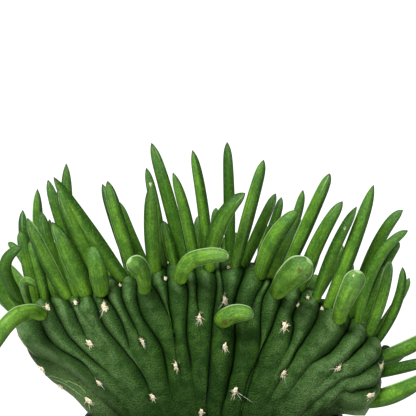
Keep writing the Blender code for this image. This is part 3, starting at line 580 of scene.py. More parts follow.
def seen_on_front(places, drifted=True):
    """(ray, girth) where the eye sees these places on the front face, by steps that shrink the miss."""
    across, up = np.array(places, float).T
    fan, reach = np.degrees(np.arctan2(across, up - HUB_HEIGHT)), np.hypot(across, up - HUB_HEIGHT)
    for _ in range(SEEK_STEPS):
        face = rim_reach(fan) - RIM_ROUND
        reach = np.clip(reach, 5.0, face + 0.97 * RIM_ROUND)
        over = np.arccos(np.clip((reach - face) / RIM_ROUND, 0.0, 1.0)) * 2 / math.pi
        girth = np.where(reach < face, reach / face - 2.0, -over)
        here = skin(fan, girth, drifted)
        miss = sighted(across, up, here[:, 1]) - here
        ray = np.arctan2(here[:, 0], here[:, 2] - HUB_HEIGHT)
        reach = reach + SEEK_SHARE * (miss[:, 0] * np.sin(ray) + miss[:, 2] * np.cos(ray))
        aside = np.degrees((miss[:, 0] * np.cos(ray) - miss[:, 2] * np.sin(ray)) / reach)
        fan = np.clip(fan + SEEK_SHARE * aside, FAN_LEFT - 6.0, FAN_RIGHT + 6.0)
    return fan, girth


def guide_of(places, ray=None):
    """A furrow's ray at the rim, and its guide: (part of the reach, degrees aside) from its lower end up."""
    fan, girth = seen_on_front(places, drifted=False)
    ray = fan[0] if ray is None else ray
    part = part_of(fan, girth) * rim_reach(fan) / rim_reach(ray)
    guide = np.stack([part, fan - ray], axis=-1)[::-1]
    keep = np.append(np.diff(guide[:, 0]) > 0.015, True)
    return ray, guide[keep]


found = [guide_of(LEFT_EDGE, FAN_LEFT)] + [guide_of(places) for places in FURROWS]
RAYS = np.array([ray for ray, _ in found] + [FAN_RIGHT])
GUIDES = [guide for _, guide in found] + [np.array([(0.8, -0.9), (0.9, -0.3), (1.0, 1.0)])]
# Lower ends of the furrows of the back, as parts of the reach, and which of them carry a woolly spot.
draw = random.Random(BACK_SEED)
BACK_ENDS = [(draw.uniform(*BACK_END_PARTS), draw.random() < 0.5) for _ in FURROWS]


def spot_places():
    """(ray, girth) of each woolly spot: those seen on the front and the rim, then those of the back."""
    front = np.stack(seen_on_front(SPOTS + RIM_SPOTS), axis=-1)
    ends = np.array([(ray, end - 0.01) for ray, (end, woolly) in zip(RAYS[1:-1], BACK_ENDS) if woolly])
    outline = rim_reach(ends[:, 0])
    share = np.minimum(ends[:, 1] * outline / (outline - RIM_ROUND), 1.0)
    return np.concatenate([front, np.stack([ends[:, 0], 2.0 - share], axis=-1)])


def furrow_relief(fan, girth):
    """The furrows' depth, in millimetres, and two marks of painted shade that rise to 1 at a furrow: the
    flanks' shade from the middle of a swelling on, and the crease's in the furrow's line only.

    Each side of a furrow is a quarter of an ellipse. At a share t of the way from the furrow to the middle of
    the swelling beside it, the skin lies 1 - sqrt(1 - (1-t)^2) of the depth lower, so that a swelling is
    round and the furrow between two is sharp. Below its lower end it goes on as a soft valley, (1-t)^2 of a
    lesser depth, and its two swellings become one.
    """
    part = part_of(fan, girth)
    reach = np.maximum(part * rim_reach(fan), LEAST_REACH) * math.pi / 180
    over_rim = FURROW_TOP + (1.0 - FURROW_TOP) * smooth_step((np.abs(girth) - 0.1) / 0.5)
    ends = [np.where(girth < 0, guide[0, 0], back[0]) for guide, back in zip(GUIDES[1:-1], BACK_ENDS)]
    fades = [smooth_step((part - end) / FURROW_FADE) * over_rim for end in ends]
    fades = [fade * SOFT_FURROWS.get(k, 1.0) for k, fade in enumerate(fades)]
    valleys = [smooth_step((part - end) / VALLEY_LENGTH + 1.0) for end in ends]
    depth, flank_shade, crease_shade = np.zeros((3, *fan.shape))
    for k, ray in enumerate(RAYS[1:-1]):
        gone_left = 1.0 - (valleys[k - 1] if k else 0.0)
        gone_right = 1.0 - (valleys[k + 1] if k + 1 < len(ends) else 0.0)
        left, right = (ray - RAYS[k]) / 2 * (1.0 + gone_left), (RAYS[k + 2] - ray) / 2 * (1.0 + gone_right)
        away = np.abs(fan - ray) * reach
        t = np.clip(away / (np.where(fan < ray, left, right) * reach), 0.0, 1.0)
        deep = np.minimum(FURROW_DEPTH, ROUNDNESS * np.minimum(left, right) * reach)
        sharp = fades[k] * (1.0 - np.sqrt(np.clip(1.0 - (1.0 - t) ** 2, 0.0, 1.0)))
        soft = (1.0 - fades[k]) * valleys[k] * VALLEY_DEPTH * (1.0 - t) ** 2
        depth = np.maximum(depth, deep * (sharp + soft))
        # Painted shade on the flanks beside a furrow: full on its left side, FURROW_SHADE of it on its right,
        # as from a lamp on the left.
        shaded = (fades[k] + 0.5 * (1.0 - fades[k]) * valleys[k]) * np.where(fan < ray, 1.0, FURROW_SHADE)
        flank_shade = np.maximum(flank_shade, shaded * (1.0 - t))
        # A thin line of painted shade, near black, along each sharp furrow.
        line = smooth_step((part - ends[k]) / LINE_FADE + 0.5) * over_rim * (k not in SOFT_FURROWS)
        crease_shade = np.maximum(crease_shade, line * np.exp(-((away / CREASE_WIDTH) ** 2)))
    return depth * np.minimum(1.0, 2.0 * end_round(fan) ** 2), flank_shade, crease_shade


def stem_columns():
    """The rays of the stem's grid: each furrow, with steps between furrows that close up towards both."""
    step = (1 - np.cos(math.pi * np.arange(SWELLING_COLUMNS) / SWELLING_COLUMNS)) / 2
    return np.append((RAYS[:-1, None] + np.diff(RAYS)[:, None] * step).ravel(), FAN_RIGHT)


def grown_skin(fan, girth, normal):
    """Points of the stem and their marks. A point is skin(fan, girth), moved along the normal: out by the
    domes and a slow unevenness, and in by the furrows and the woolly spots' pits."""
    smooth = skin(fan, girth)
    depth, flank_shade, crease_shade = furrow_relief(fan, girth)
    x, y, z = np.moveaxis(smooth, -1, 0)
    uneven = 0.25 * np.sin(0.31 * x + 0.2 * z) * np.sin(0.27 * z - 0.1 * x)
    uneven += 0.12 * np.sin(0.9 * x + 0.7 * z + y)
    dome = DOME_RISE * np.exp(-(((np.abs(girth) - DOME_MIDDLE) / DOME_SPREAD) ** 2)) * end_round(fan)
    pit = np.zeros(fan.shape)
    for place in skin(*spot_places().T):
        pit = np.maximum(pit, np.exp(-np.sum((smooth - place) ** 2, axis=-1) / PIT_RADIUS**2))
    points = smooth + normal * (dome + uneven * end_round(fan) - depth - SPOT_PIT * pit)[..., None]
    # The marks steer the skin's colour: painted shade on the flanks, in the creases, in the pits and low
    # down, and painted rim light at the side edges.
    marks = {"crease_shade": crease_shade, "flank_shade": flank_shade, "pit": pit, "over": girth, "low": 1.0 - part_of(fan, girth)}
    marks["edge"] = 1.0 - np.minimum(1.0, end_round(fan) * 1.3)
    return points, marks


def make_stem():
    """The fan: grown_skin over its grid, whose first and last columns close the side edges."""
    face = np.linspace(-2.0, -1.0, FACE_ROWS + 1)[:-1]
    rows = np.concatenate([face, np.linspace(-1.0, 1.0, RIM_ROWS + 1), -face[::-1]])
    fan, girth = np.meshgrid(stem_columns(), rows, indexing="ij")
    normal = skin_normal(fan, girth)
    normal[0], normal[-1] = unit(np.array([(-1.0, 0.0, -EDGE_DROOP), (1.0, 0.0, -EDGE_DROOP)]))
    points, marks = grown_skin(fan, girth, normal)
    points[:, (0, -1), 2] = FOOT_HEIGHT
    index = np.arange(fan.size).reshape(fan.shape)
    for edge in (0, -1):
        points[edge] = (points[edge] + points[edge, ::-1]) / 2
        index[edge] = np.minimum(index[edge], index[edge, ::-1])
    index = np.concatenate([index, index[:, :1]], axis=1)
    return surface("crested_fan", points[None], index[None], marks)


def tube_points(middle, side, other, radius, sides):
    """Rings of points round lines: middle + radius (side cos t + other sin t), for turns t."""
    turn = turns(sides)[:, None]
    ring = side[:, :, None] * np.cos(turn) + other[:, :, None] * np.sin(turn)
    return middle[:, :, None] + radius[..., None, None] * ring


def make_ridges():
    """The thin ridges: tubes half sunk in the skin along their seen lines, of radius w sqrt(sin(pi s))."""
    s = np.linspace(0.0, 1.0, RIDGE_ROWS)
    lines = [curves(s, np.linspace(0.0, 1.0, len(ridge)), seen_on_front(ridge)) for ridge in RIDGES]
    fan, girth = np.moveaxis(np.array(lines), -1, 0)
    normal = skin_normal(fan, girth)
    middle, marks = grown_skin(fan, girth, normal)
    side = np.cross(unit(np.gradient(middle, axis=1)), normal)
    radius = RIDGE_WIDTH * np.sqrt(np.sin(math.pi * s).clip(0.0, 1.0))[None]
    points = tube_points(middle, side, -normal, radius, RIDGE_SIDES)
    marks = {name: values[..., None] for name, values in marks.items()} | {"ridge": 1.0}
    return surface("skin_ridges", points, ring_index(*points.shape[:-1]), marks)


def skin_finish():
    """Waxy dark green skin with yellow-green patches, leathery grain and pale dots. Painted shade makes it
    near black in the furrows, and darker low down, on the flanks and in the woolly spots' pits. It is paler
    and greyer on the domes, by a painted highlight that is partly the wax's bloom, and at the sides, where
    the side edges get painted rim light and the thin ridges a painted highlight."""
    wax = Finish("waxy stem skin", {"Specular IOR Level": 0.1, "IOR": 1.45})
    names = ("crease_shade", "flank_shade", "pit", "over", "low", "edge", "ridge")
    crease_shade, flank_shade, pit, over, low, edge, ridge = (wax.mark(name) for name in names)
    across = wax.node("SeparateXYZ", None, {0: wax.place()}, output="X")
    outer = wax.math("ABSOLUTE", across + 0.002).step(0.010, 0.050)
    rim = 1.0 - wax.math("ABSOLUTE", over).step(0.5, 1.3)
    crown = 1.0 - flank_shade.step(0.0, 0.55)
    cloud, patch, grain = wax.noise(15.0, 3.0), wax.noise(4.0, 5.0), wax.noise(0.6, 3.0)
    cells = wax.node("TexVoronoi", None, {"Vector": wax.place(), "Scale": 1.0 / (DOT_SIZE * MM)})
    dots = 1.0 - cells.step(0.1, 0.6)
    glow = (1.0 - outer) * patch.step(0.42, 0.62) * low.step(0.0, 0.3)
    # The crowns' painted highlight, partly the wax's bloom: more at the sides, near the rim's top and on the
    # right.
    bright = 0.12 + 0.33 * outer + 0.65 * rim + 0.25 * across.step(0.015, 0.05)
    shine = crown * bright * patch.step(0.25, 0.6)
    # Pale dots of the skin, stronger on the crowns with their painted highlight and fainter low down.
    pale = dots * (0.15 + 0.6 * crown) * patch.step(0.3, 0.6)
    pale = pale * (0.45 + 0.55 * outer) * (1.0 - low.step(0.3, 0.8))
    colour = wax.coats(
        wax.mix(outer, (0.013, 0.054, 0.003), (0.031, 0.086, 0.012)),
        (cloud.step(0.35, 0.65) * 0.5, (0.014, 0.048, 0.005)),
        (glow * 0.7, (0.032, 0.098, 0.001)),
        # Painted shade, darker low down on the stem.
        (low.step(0.25, 0.7) * (1.0 - outer * 0.3) * 0.7, (0.007, 0.031, 0.003)),
        # Painted highlight on the crowns, partly waxy bloom.
        (shine * 0.8, (0.122, 0.232, 0.074)),
        # Painted rim light along the fan's side edges.
        (edge * 0.75, (0.140, 0.230, 0.075)),
        # Painted shade on the flanks beside the furrows.
        (flank_shade.step(0.3, 1.0) * 0.75, (0.004, 0.019, 0.002)),
        (grain.step(0.46, 0.62) * 0.5, (0.006, 0.027, 0.002)),
        (pale * 0.85, (0.205, 0.315, 0.130)),
        # Painted shade in the woolly spots' pits.
        (pit.step(0.15, 0.6) * 0.8, (0.004, 0.018, 0.002)),
        # Painted highlight on the thin ridges.
        (ridge * 0.7, (0.190, 0.300, 0.120)),
        # Painted shade, near black, in the furrows' lines.
        (crease_shade * 0.9, (0.0012, 0.005, 0.001)),
    )
    wax.lay(colour, 0.42 + 0.16 * patch, grain + dots * 0.5, 0.55)
    return wax


stem, skin_paint = make_stem(), skin_finish()
skin_paint.onto(stem, "plant_skin")
skin_paint.onto(make_ridges(), "plant_skin")
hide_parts("crested_stem")

# Woolly spots
# Each is an areole, a tuft of short cream wool in a little pit of the skin, with a few thin pale spines that
# slant down and outwards. They grow from the stem.
SPOT_SEED = 9
WOOL_LENGTH, WOOL_WIDTH, WOOL_HEIGHT = 1.6, 0.85, 1.0
# The hairs and the spines of a spot, and how far above the skin they start.
HAIRS, SPINES, HAIR_RISE = 34, 3, 0.5
TUFT_ROWS, TUFT_SIDES = 15, 18
SPINE_LENGTHS, SPINE_LIFTS, SPINE_RADIUS = (1.8, 4.8), (0.1, 0.5), 0.07
# Long hairs seen on the front: from a spot, and to where (across, up). Their ends stand forward by the lift.
LONG_HAIRS = (
    ((10.1, 97.4), (15.4, 93.2)), ((10.1, 97.4), (6, 94)), ((-43.7, 100.8), (-40, 100.6)),
    ((-43.7, 100.8), (-41, 98.4)), ((4.1, 132.2), (3.8, 135.6)), ((-40.9, 129.6), (-43.2, 127.6)),
)
LONG_HAIR_LIFT = 2.5


def spot_frames():
    """For each woolly spot, its place on the skin and the directions down the stem, across it and out of it,
    which are as long as the spot is large."""
    fan, girth = spot_places().T
    size = np.ones((len(fan), 1))
    size[len(SPOTS):len(SPOTS) + len(RIM_SPOTS)] = RIM_SPOT_SIZE
    outward = skin_normal(fan, girth)
    place, _ = grown_skin(fan, girth, outward)
    down = skin(fan, girth + np.where(girth < 0, -0.02, 0.02)) - skin(fan, girth)
    down = unit(down - outward * np.sum(down * outward, axis=-1, keepdims=True))
    return place, down * size, np.cross(outward, down) * size, outward * size


def make_wool():
    """A lumpy mound on each spot: an ellipsoid whose radius goes up and down with its turn and lean."""
    draw = np.random.default_rng(SPOT_SEED)
    place, down, across, outward = (v[:, None, None, :] for v in spot_frames())
    count = len(place)
    lean, turn = np.meshgrid(np.linspace(0, math.pi, TUFT_ROWS), turns(TUFT_SIDES), indexing="ij")
    phase, size = draw.random((3, count, 1, 1)) * 6.3, 0.8 + 0.4 * draw.random((count, 1, 1))
    lump = 1 + 0.22 * np.sin(5 * turn + phase[0]) * np.sin(lean)
    lump = lump + 0.2 * np.sin(3 * turn - 4 * lean + phase[1]) + 0.1 * np.sin(8 * lean + 2 * turn + phase[2])
    lump = (lump * size)[..., None]
    points = place + lump * (
        down * WOOL_LENGTH * (np.sin(lean) * np.cos(turn))[..., None]
        + across * WOOL_WIDTH * (np.sin(lean) * np.sin(turn))[..., None]
        + outward * WOOL_HEIGHT * np.cos(lean)[..., None]
    )
    return surface("wool_tufts", points, ring_index(count, *lean.shape)[:, :, ::-1])


def strands(name, start, along, bend, radius, rows=5, sides=4):
    """Tapered strands: start + s along + s squared bend, with a radius that falls to nothing at s = 1."""
    s = np.linspace(0.0, 1.0, rows)[:, None]
    middle = start[:, None] + along[:, None] * s + bend[:, None] * s * s
    side = unit(np.cross(unit(along), [0.31, 0.17, 0.93]))
    other = np.cross(unit(along), side)
    radius = radius[:, None] * (1.0 - s[:, 0] ** 2)
    points = tube_points(middle, side[:, None], other[:, None], radius, sides)
    return surface(name, points, ring_index(*points.shape[:-1]))


def make_hairs():
    """Short wool hairs that splay from each spot, mostly downwards."""
    draw = np.random.default_rng(SPOT_SEED + 1)
    place, down, across, outward = (np.repeat(v, HAIRS, axis=0) for v in spot_frames())
    fall, side, lift, size = draw.normal(size=(4, len(place), 1))
    start = place + down * fall * 0.6 + across * side * 0.3 + outward * HAIR_RISE
    along = down * (0.3 + 0.7 * fall) + across * 0.65 * side + outward * (0.45 + 0.3 * np.abs(lift))
    along *= 0.5 + 0.3 * np.abs(size)
    bend = (down * 0.3 * lift + across * 0.3 * size) * 0.8
    return strands("wool_hairs", start, along, bend, 0.08 + 0.06 * draw.random(len(place)))


def make_spines():
    """A few longer spines at each woolly spot, and the long hairs."""
    draw = np.random.default_rng(SPOT_SEED + 2)
    place, down, across, outward = (np.repeat(v, SPINES, axis=0) for v in spot_frames())
    ranges = (-1.0, 1.0), SPINE_LENGTHS, SPINE_LIFTS
    side, length, lift = (draw.uniform(*ends, (len(place), 1)) for ends in ranges)
    along = (down * 0.8 + across * 0.8 * side + outward * lift) * length
    bend = -outward * 0.1 * length
    fan, girth = seen_on_front([start for start, _ in LONG_HAIRS])
    starts, _ = grown_skin(fan, girth, skin_normal(fan, girth))
    ends = sighted(*np.array([end for _, end in LONG_HAIRS]).T, starts[:, 1] - LONG_HAIR_LIFT)
    place = np.concatenate([place + outward * HAIR_RISE, starts])
    along = np.concatenate([along, ends - starts])
    bend = np.concatenate([bend, np.zeros(starts.shape)])
    return strands("spines", place, along, bend, np.full(len(place), SPINE_RADIUS), rows=7)


def wool_finish():
    """Cream wool, matted and a little dirty, with paler strands."""
    wool = Finish("cream wool", {"Specular IOR Level": 0.15})
    dirt, strand = wool.noise(0.9, 4.0).step(0.45, 0.75), wool.noise(0.35, 3.0)
    colour = wool.mix(strand, (0.62, 0.54, 0.33), (0.90, 0.84, 0.62))
    wool.lay(wool.coats(colour, (dirt * 0.35, (0.30, 0.20, 0.10))), 0.95, strand, 0.25)
    return wool


def spine_finish():
    """Thin horny spines, mottled ivory with a soft gloss."""
    horn = Finish("ivory spine", {"Specular IOR Level": 0.4})
    horn.lay(horn.mix(horn.noise(1.5), (0.66, 0.64, 0.50), (0.88, 0.86, 0.76)), 0.4)
    return horn


wool = wool_finish()
wool.onto(make_wool(), "plant_skin")
wool.onto(make_hairs(), "plant_skin")
spine_finish().onto(make_spines(), "plant_skin")

# Leaves
# Fleshy leaves grow in rows along the rim: spindles, a little flattened, with a blunt yellow-green heel that
# sits on a swelling, a bluish upper part and a tiny brown point. Some of the front curl towards the viewer.
# Straight leaves: the ray that a leaf roots on, how far over the rim its root lies (-90 is the front
# shoulder, 90 the back one), the point (across, up) that its middle goes through, its tip, and its width.
LEAVES = (
    (-38.4, 40, (-54.9, 160), (-55.4, 183.6), 5.2), (-23.4, -28, (-46.9, 158.4), (-60.2, 178.5), 6.5),
    (-34.1, 5, (-56.6, 158.9), (-62.3, 177.4), 4.6), (-29.2, -34, (-51.8, 157.4), (-58.3, 174.2), 6.7),
    (-33.9, -44, (-53.1, 146.9), (-60.7, 161.6), 7.6), (-36.1, -36, (-55.1, 145), (-59.1, 156.7), 4.2),
    (-44.8, 5, (-70.1, 151), (-71.7, 166.1), 5), (-46.5, -25, (-69.7, 145.2), (-72.7, 158.3), 5.2),
    (-38.2, -40, (-62.8, 147.2), (-70, 163.1), 5.5), (-42.7, 12, (-65.4, 154.8), (-66.2, 174), 5),
    (-37.4, -15, (-60.6, 149.5), (-64.8, 165.4), 4.6), (-41.8, 30, (-61.5, 149.1), (-61.6, 162.6), 3.9),
    (-45.8, 50, (-70.9, 146.5), (-77.4, 153.7), 3.5), (-51.5, -15, (-81, 138.2), (-89.3, 149), 7.2),
    (-43.5, -24, (-65.2, 142.8), (-69.2, 154.5), 4.6), (-40.3, -20, (-60.4, 137.9), (-62.3, 147), 3.9),
    (-21.1, 10, (-35.6, 157), (-41.9, 175.9), 4.4), (-20.2, -30, (-34.5, 157.3), (-40, 177), 5.6),
    (-17, 5, (-30.4, 154.8), (-35.5, 169.1), 4.2), (-18.4, 35, (-27.6, 147.2), (-28.3, 152.6), 3.1),
    (-13.1, -5, (-21.3, 162.6), (-25.4, 181.9), 4.2), (-15.4, -34, (-23.5, 158.9), (-23.6, 175.9), 5.8),
    (-9.9, -12, (-16.5, 151.8), (-19, 162), 4.4), (-7.5, 0, (-16.6, 168.1), (-23.5, 191.3), 5.3),
    (-6.2, 20, (-11.2, 151), (-13.5, 156.7), 3.5), (-4.8, -22, (-10.3, 162.6), (-15.5, 180.2), 4.5),
    (-4.3, 25, (-6.1, 154.8), (-5.6, 164), 4.2), (-1.5, 5, (-4.2, 167.1), (-8.1, 188.6), 4.5),
    (0.5, 45, (0.4, 156.6), (0.8, 166.9), 3.9), (4.4, 0, (5.7, 169), (4.9, 191.6), 4.5),
    (5.3, -30, (13.2, 165.2), (18.7, 184.9), 5), (7.6, -5, (16.5, 157.5), (23.2, 172.3), 4.4),
    (11.2, 20, (21.6, 158.5), (25.3, 170.9), 3.9), (15.4, 22, (28.5, 156.6), (33.4, 173.6), 4.2),
    (15.1, -34, (25.1, 149.5), (29.8, 159.7), 4.4), (18.9, -16, (35.4, 161.7), (43.5, 179.8), 5.4),
    (24.3, -18, (38.8, 153.4), (48.3, 169.3), 5.9), (29.2, -32, (44.9, 150.8), (53.6, 167.4), 4.6),
    (33.4, -28, (51.9, 152.5), (59.9, 175.6), 5.7), (40.2, -5, (61, 152.6), (70.9, 166), 4.8),
    (43.6, 12, (63, 143.5), (69.6, 153.9), 4.2), (47.3, -22, (62.8, 132.6), (66, 147.4), 4.8),
    (44.9, 8, (60.2, 135.2), (64.1, 145.9), 4.6), (51.5, -8, (68.4, 130.4), (70.7, 144.7), 4),
    (51.5, 40, (68.2, 130.5), (73.2, 140.6), 3.4), (51, 35, (62.4, 120.2), (62.8, 125.1), 3.1),
    (56, 5, (74.3, 115.4), (83.8, 121.8), 6.4),
)
# Bent leaves, in the same way, with points (across, up, forward).
BENT_LEAVES = (
    (-48.2, 5, (-78.2, 143, 2), (-72, 152.2, 7), 4.9),
    (-47.8, -26, (-71.2, 138.4, 13), (-66.5, 137.2, 15), 3.5),
    (-30.5, -52, (-43.4, 142.4, 17), (-45.8, 152.6, 16.5), 7.2),
    (-1.5, -44, (2, 160.5, 17), (11.8, 172.4, 17), 6.4),
    (12.5, -46, (22.4, 154.8, 17), (31.5, 165.8, 17), 6.8),
    (43.2, -26, (60.6, 145.5, 10), (72.8, 158.3, 10), 4.4),
    (60.2, 12, (71.8, 107.3, -2), (84.5, 109.9, 0), 4.9),
    (66.5, 32, (68.6, 97.6, 0), (82.5, 105.5, 4), 7.6),
)
# Curled leaves of the front row, from heel to tip: points (across, up, forward) of the leaf's middle line,
# and its width there. The last is the small leaf that hangs low on the front face.
CURLED_LEAVES = (
    ((-63.8, 126.2, 4.2, 5.4), (-69, 127.8, 14.5, 6.2), (-74.2, 126.2, 19.5, 6.4), (-78.2, 122.4, 22, 6.2),
     (-81.2, 117.6, 22.5, 5.4), (-83.4, 112.8, 22, 3.6)),
    ((-25.9, 134.5, 13.8, 4.4), (-26.2, 139.3, 18.5, 5.3), (-27.2, 143.4, 21.5, 6.6),
     (-29.6, 145.9, 25, 7.3), (-32.2, 147.3, 27.5, 6.4)),
    ((-12.6, 138.6, 13.2, 4.8), (-12, 143, 19, 5.6), (-8.6, 147, 22, 6.2), (-3.8, 148.6, 24.5, 6),
     (1.2, 149.1, 26, 5.4), (5.6, 148.5, 26.5, 3.6)),
    ((23.2, 133.6, 10.2, 5), (25.2, 137, 17, 7.8), (28.4, 140.8, 21, 10), (32.2, 144.2, 24, 10.8),
     (36.2, 147.2, 26, 9)),
    ((46.6, 123.8, 7.4, 5.4), (48.1, 129.7, 16, 6.4), (50.3, 134.7, 19, 7.4), (52.6, 139.4, 21, 8.2),
     (54.4, 143.4, 22, 8)),
    ((2.6, 123.2, 12.8, 6.8), (5, 126, 18.5, 7.2), (7.8, 127.3, 19.5, 6.8), (11, 127.4, 20, 6.2),
     (14.8, 126.4, 20, 4.4)),
)
# Leaves of the back stand by rule in rows: how far over the rim, the first ray, the spacing and the length.
# Past SHORT_RAY, and near GAP_RAY, they are shorter by up to SHORTER of their length.
BACK_ROWS = ((30.0, -47.0, 13.0, 22.0), (55.0, -52.0, 11.0, 26.0), (82.0, -46.0, 13.0, 25.0))
BACK_LEAF_WIDTH, BACK_LEAN, LAST_BACK_RAY = 5.2, 0.0155, 60.0
SHORT_RAY, SHORT_SPREAD, GAP_RAY, GAP_SPREAD, SHORTER = 48.0, 6.0, 5.0, 4.0, 0.5
# How much the leaves of the back vary: in lean, in aim across and up, in length, and in spacing.
LEAN_SPREAD, ACROSS_SPREAD, UP_SPREAD, LENGTHS, SPACINGS = 0.12, 0.16, 0.08, (0.8, 1.15), (0.85, 1.15)
# A straight leaf of the front leans out by LEAF_LEAN at a shoulder. One of the back first leaves the stem a
# little along its normal.
LEAF_LEAN, LEAF_RISE = 15.0, 0.15
LEAF_THICKNESS, INNER_BULGE, LEAF_TWIST, LEAF_KEEL = 0.74, 0.55, 0.14, 0.4
# Heels are sunk into the stem, and deeper past DEEP_FROM over the rim. A leaf's green is freshest FRESH_FROM
# away from the rim's top, or more, and a less fresh leaf gets painted shade at its heel.
HEEL_DEPTH, DEEP_HEEL, DEEP_FROM, DEEP_SPREAD, HEEL_ROUND, HEEL_WIDTH = 1.2, 3.2, -40.0, 20.0, 0.4, 0.76
RIM_FRESHNESS, FRESH_FROM = 0.7, 40.0
CURLED_HEEL_ROUND, CURLED_TIP_ROUND = 0.45, 0.6
TIP_START, TIP_SLIMNESS, WIDE_SLIMNESS, WIDE_FROM, TIP_FULLNESS = 0.3, 0.26, 0.11, 5.2, 11.0
HEEL_SPREAD, FULLNESS_SPREAD = 0.08, 3.0
# Marks seen on the leaves, by their colour: where (across, up), and their radius.
BLEMISHES = {
    "brown": ((32.2, 143.3, 1.2), (34.8, 141.6, 0.8), (3.8, 123.8, 1.3), (6.4, 124.6, 0.7)),
    "pale": (
        (-23.8, 175.6, 0.8), (49.1, 159.3, 0.6), (54.0, 144.8, 0.8), (52.3, 141.5, 0.5), (48.6, 126.9, 0.4),
    ),
}
LEAF_ROWS, LEAF_SIDES, LEAF_SEED = 40, 22, 3
LEAF_STEPS = (1 - np.cos(math.pi * np.linspace(0.0, 1.0, LEAF_ROWS))) / 2


def bent_line(start, middle, tip, width, vary):
    """Points (1-s)^2 start + 2s(1-s) middle + s^2 tip along a leaf, and its half width at each.

    The width grows as a sine from the rounded heel, and falls as (1 - slimness n^2)(1 - n^fullness) to the
    tip. A wide leaf is slimmer at its tip. vary, from -1 to 1, makes the heel and the tip fuller or leaner.
    """
    s = LEAF_STEPS[:, None]
    places = (1 - s) ** 2 * start + 2 * s * (1 - s) * middle + s**2 * tip
    heel = np.minimum(LEAF_STEPS * np.linalg.norm(tip - start) / (HEEL_ROUND * width), 1.0)
    slender = HEEL_WIDTH - HEEL_SPREAD * vary
    swell = slender + (1.0 - slender) * np.sin(np.clip(LEAF_STEPS * 2.0, 0.0, 1.0) * math.pi / 2)
    near_tip = np.clip((LEAF_STEPS - TIP_START) / (1.0 - TIP_START), 0.0, 1.0)
    slimness = TIP_SLIMNESS + WIDE_SLIMNESS * max(width - WIDE_FROM, 0.0)
    taper = (1.0 - slimness * near_tip**2) * (1.0 - near_tip ** (TIP_FULLNESS + FULLNESS_SPREAD * vary))
    return places, width / 2 * np.sqrt(1.0 - (1.0 - heel) ** 2) * swell * taper


def curled_line(knots):
    """A leaf through knots of place and width, with both its ends rounded off: points, half widths, no twist,
    and the freshest green."""
    knots = np.array(knots)
    knots[:, :3] = [sighted(across, up, -forward) for across, up, forward, _ in knots]
    way = np.concatenate([[0.0], np.cumsum(np.linalg.norm(np.diff(knots[:, :3], axis=0), axis=-1))])
    along = LEAF_STEPS * way[-1]
    line = curves(along, way, knots.T)
    heel = along / (CURLED_HEEL_ROUND * knots[0, 3])
    tip = (way[-1] - along) / (CURLED_TIP_ROUND * knots[-1, 3])
    rounding = np.prod([np.sqrt(1.0 - (1.0 - np.clip(end, 0.0, 1.0)) ** 2) for end in (heel, tip)], axis=0)
    return line[:, :3], line[:, 3] / 2 * rounding, 0.0, 1.0


def rooted_line(fan, over, through, tip, width, vary):
    """A leaf that roots on the stem, goes through a point half way, and ends at its tip: points, half widths,
    twist, and how fresh its green is, which is more towards a face than on top of the rim."""
    root, outward = skin(fan, over / 90.0), skin_normal(fan, over / 90.0)
    depth = HEEL_DEPTH + (DEEP_HEEL - HEEL_DEPTH) * float(smooth_step((over - DEEP_FROM) / DEEP_SPREAD))
    start = root - outward * depth
    places, half = bent_line(start, 2 * through - (start + tip) / 2, tip, width, vary)
    return places, half, LEAF_TWIST, RIM_FRESHNESS * min(abs(over) / FRESH_FROM, 1.0)


def front_leaf_lines():
    """The lines of the leaves that show from the front."""
    lines, draw = [], random.Random(LEAF_SEED)
    for fan, over, through, tip, width in LEAVES:
        root, lean = skin(fan, over / 90.0)[1], LEAF_LEAN * over / 90.0
        through, tip = sighted(*through, root + lean / 2), sighted(*tip, root + lean)
        lines.append(rooted_line(fan, over, through, tip, width, draw.uniform(-1, 1)))
    for fan, over, through, tip, width in BENT_LEAVES:
        through, tip = (sighted(across, up, -forward) for across, up, forward in (through, tip))
        lines.append(rooted_line(fan, over, through, tip, width, draw.uniform(-1, 1)))
    return lines + [curled_line(knots) for knots in CURLED_LEAVES]


def back_leaf_lines():
    """The lines of the leaves of the back, in rows that lean out more the lower they root."""
    draw = random.Random(BACK_SEED + 1)
    lines = []
    for over, fan, spacing, length in BACK_ROWS:
        while fan < LAST_BACK_RAY:
            ray, lean = math.radians(fan), BACK_LEAN * over + draw.uniform(-LEAN_SPREAD, LEAN_SPREAD)
            aim = np.array([math.sin(ray) * math.cos(lean), math.sin(lean), math.cos(ray) * math.cos(lean)])
            aim += draw.uniform(-ACROSS_SPREAD, ACROSS_SPREAD), 0.0, draw.uniform(-UP_SPREAD, UP_SPREAD)
            root, outward = skin(fan, over / 90.0), skin_normal(fan, over / 90.0)
            short = 1.0 - SHORTER * float(smooth_step((fan - SHORT_RAY) / SHORT_SPREAD))
            short -= SHORTER * math.exp(-(((fan - GAP_RAY) / GAP_SPREAD) ** 2))
            chord = aim * length * draw.uniform(*LENGTHS) * short
            through = root + chord / 2 + LEAF_RISE * (outward * np.linalg.norm(chord) - chord) / 2
            lines.append(rooted_line(fan, over, through, root + chord, BACK_LEAF_WIDTH, draw.uniform(-1, 1)))
            fan += spacing * draw.uniform(*SPACINGS)
    return lines


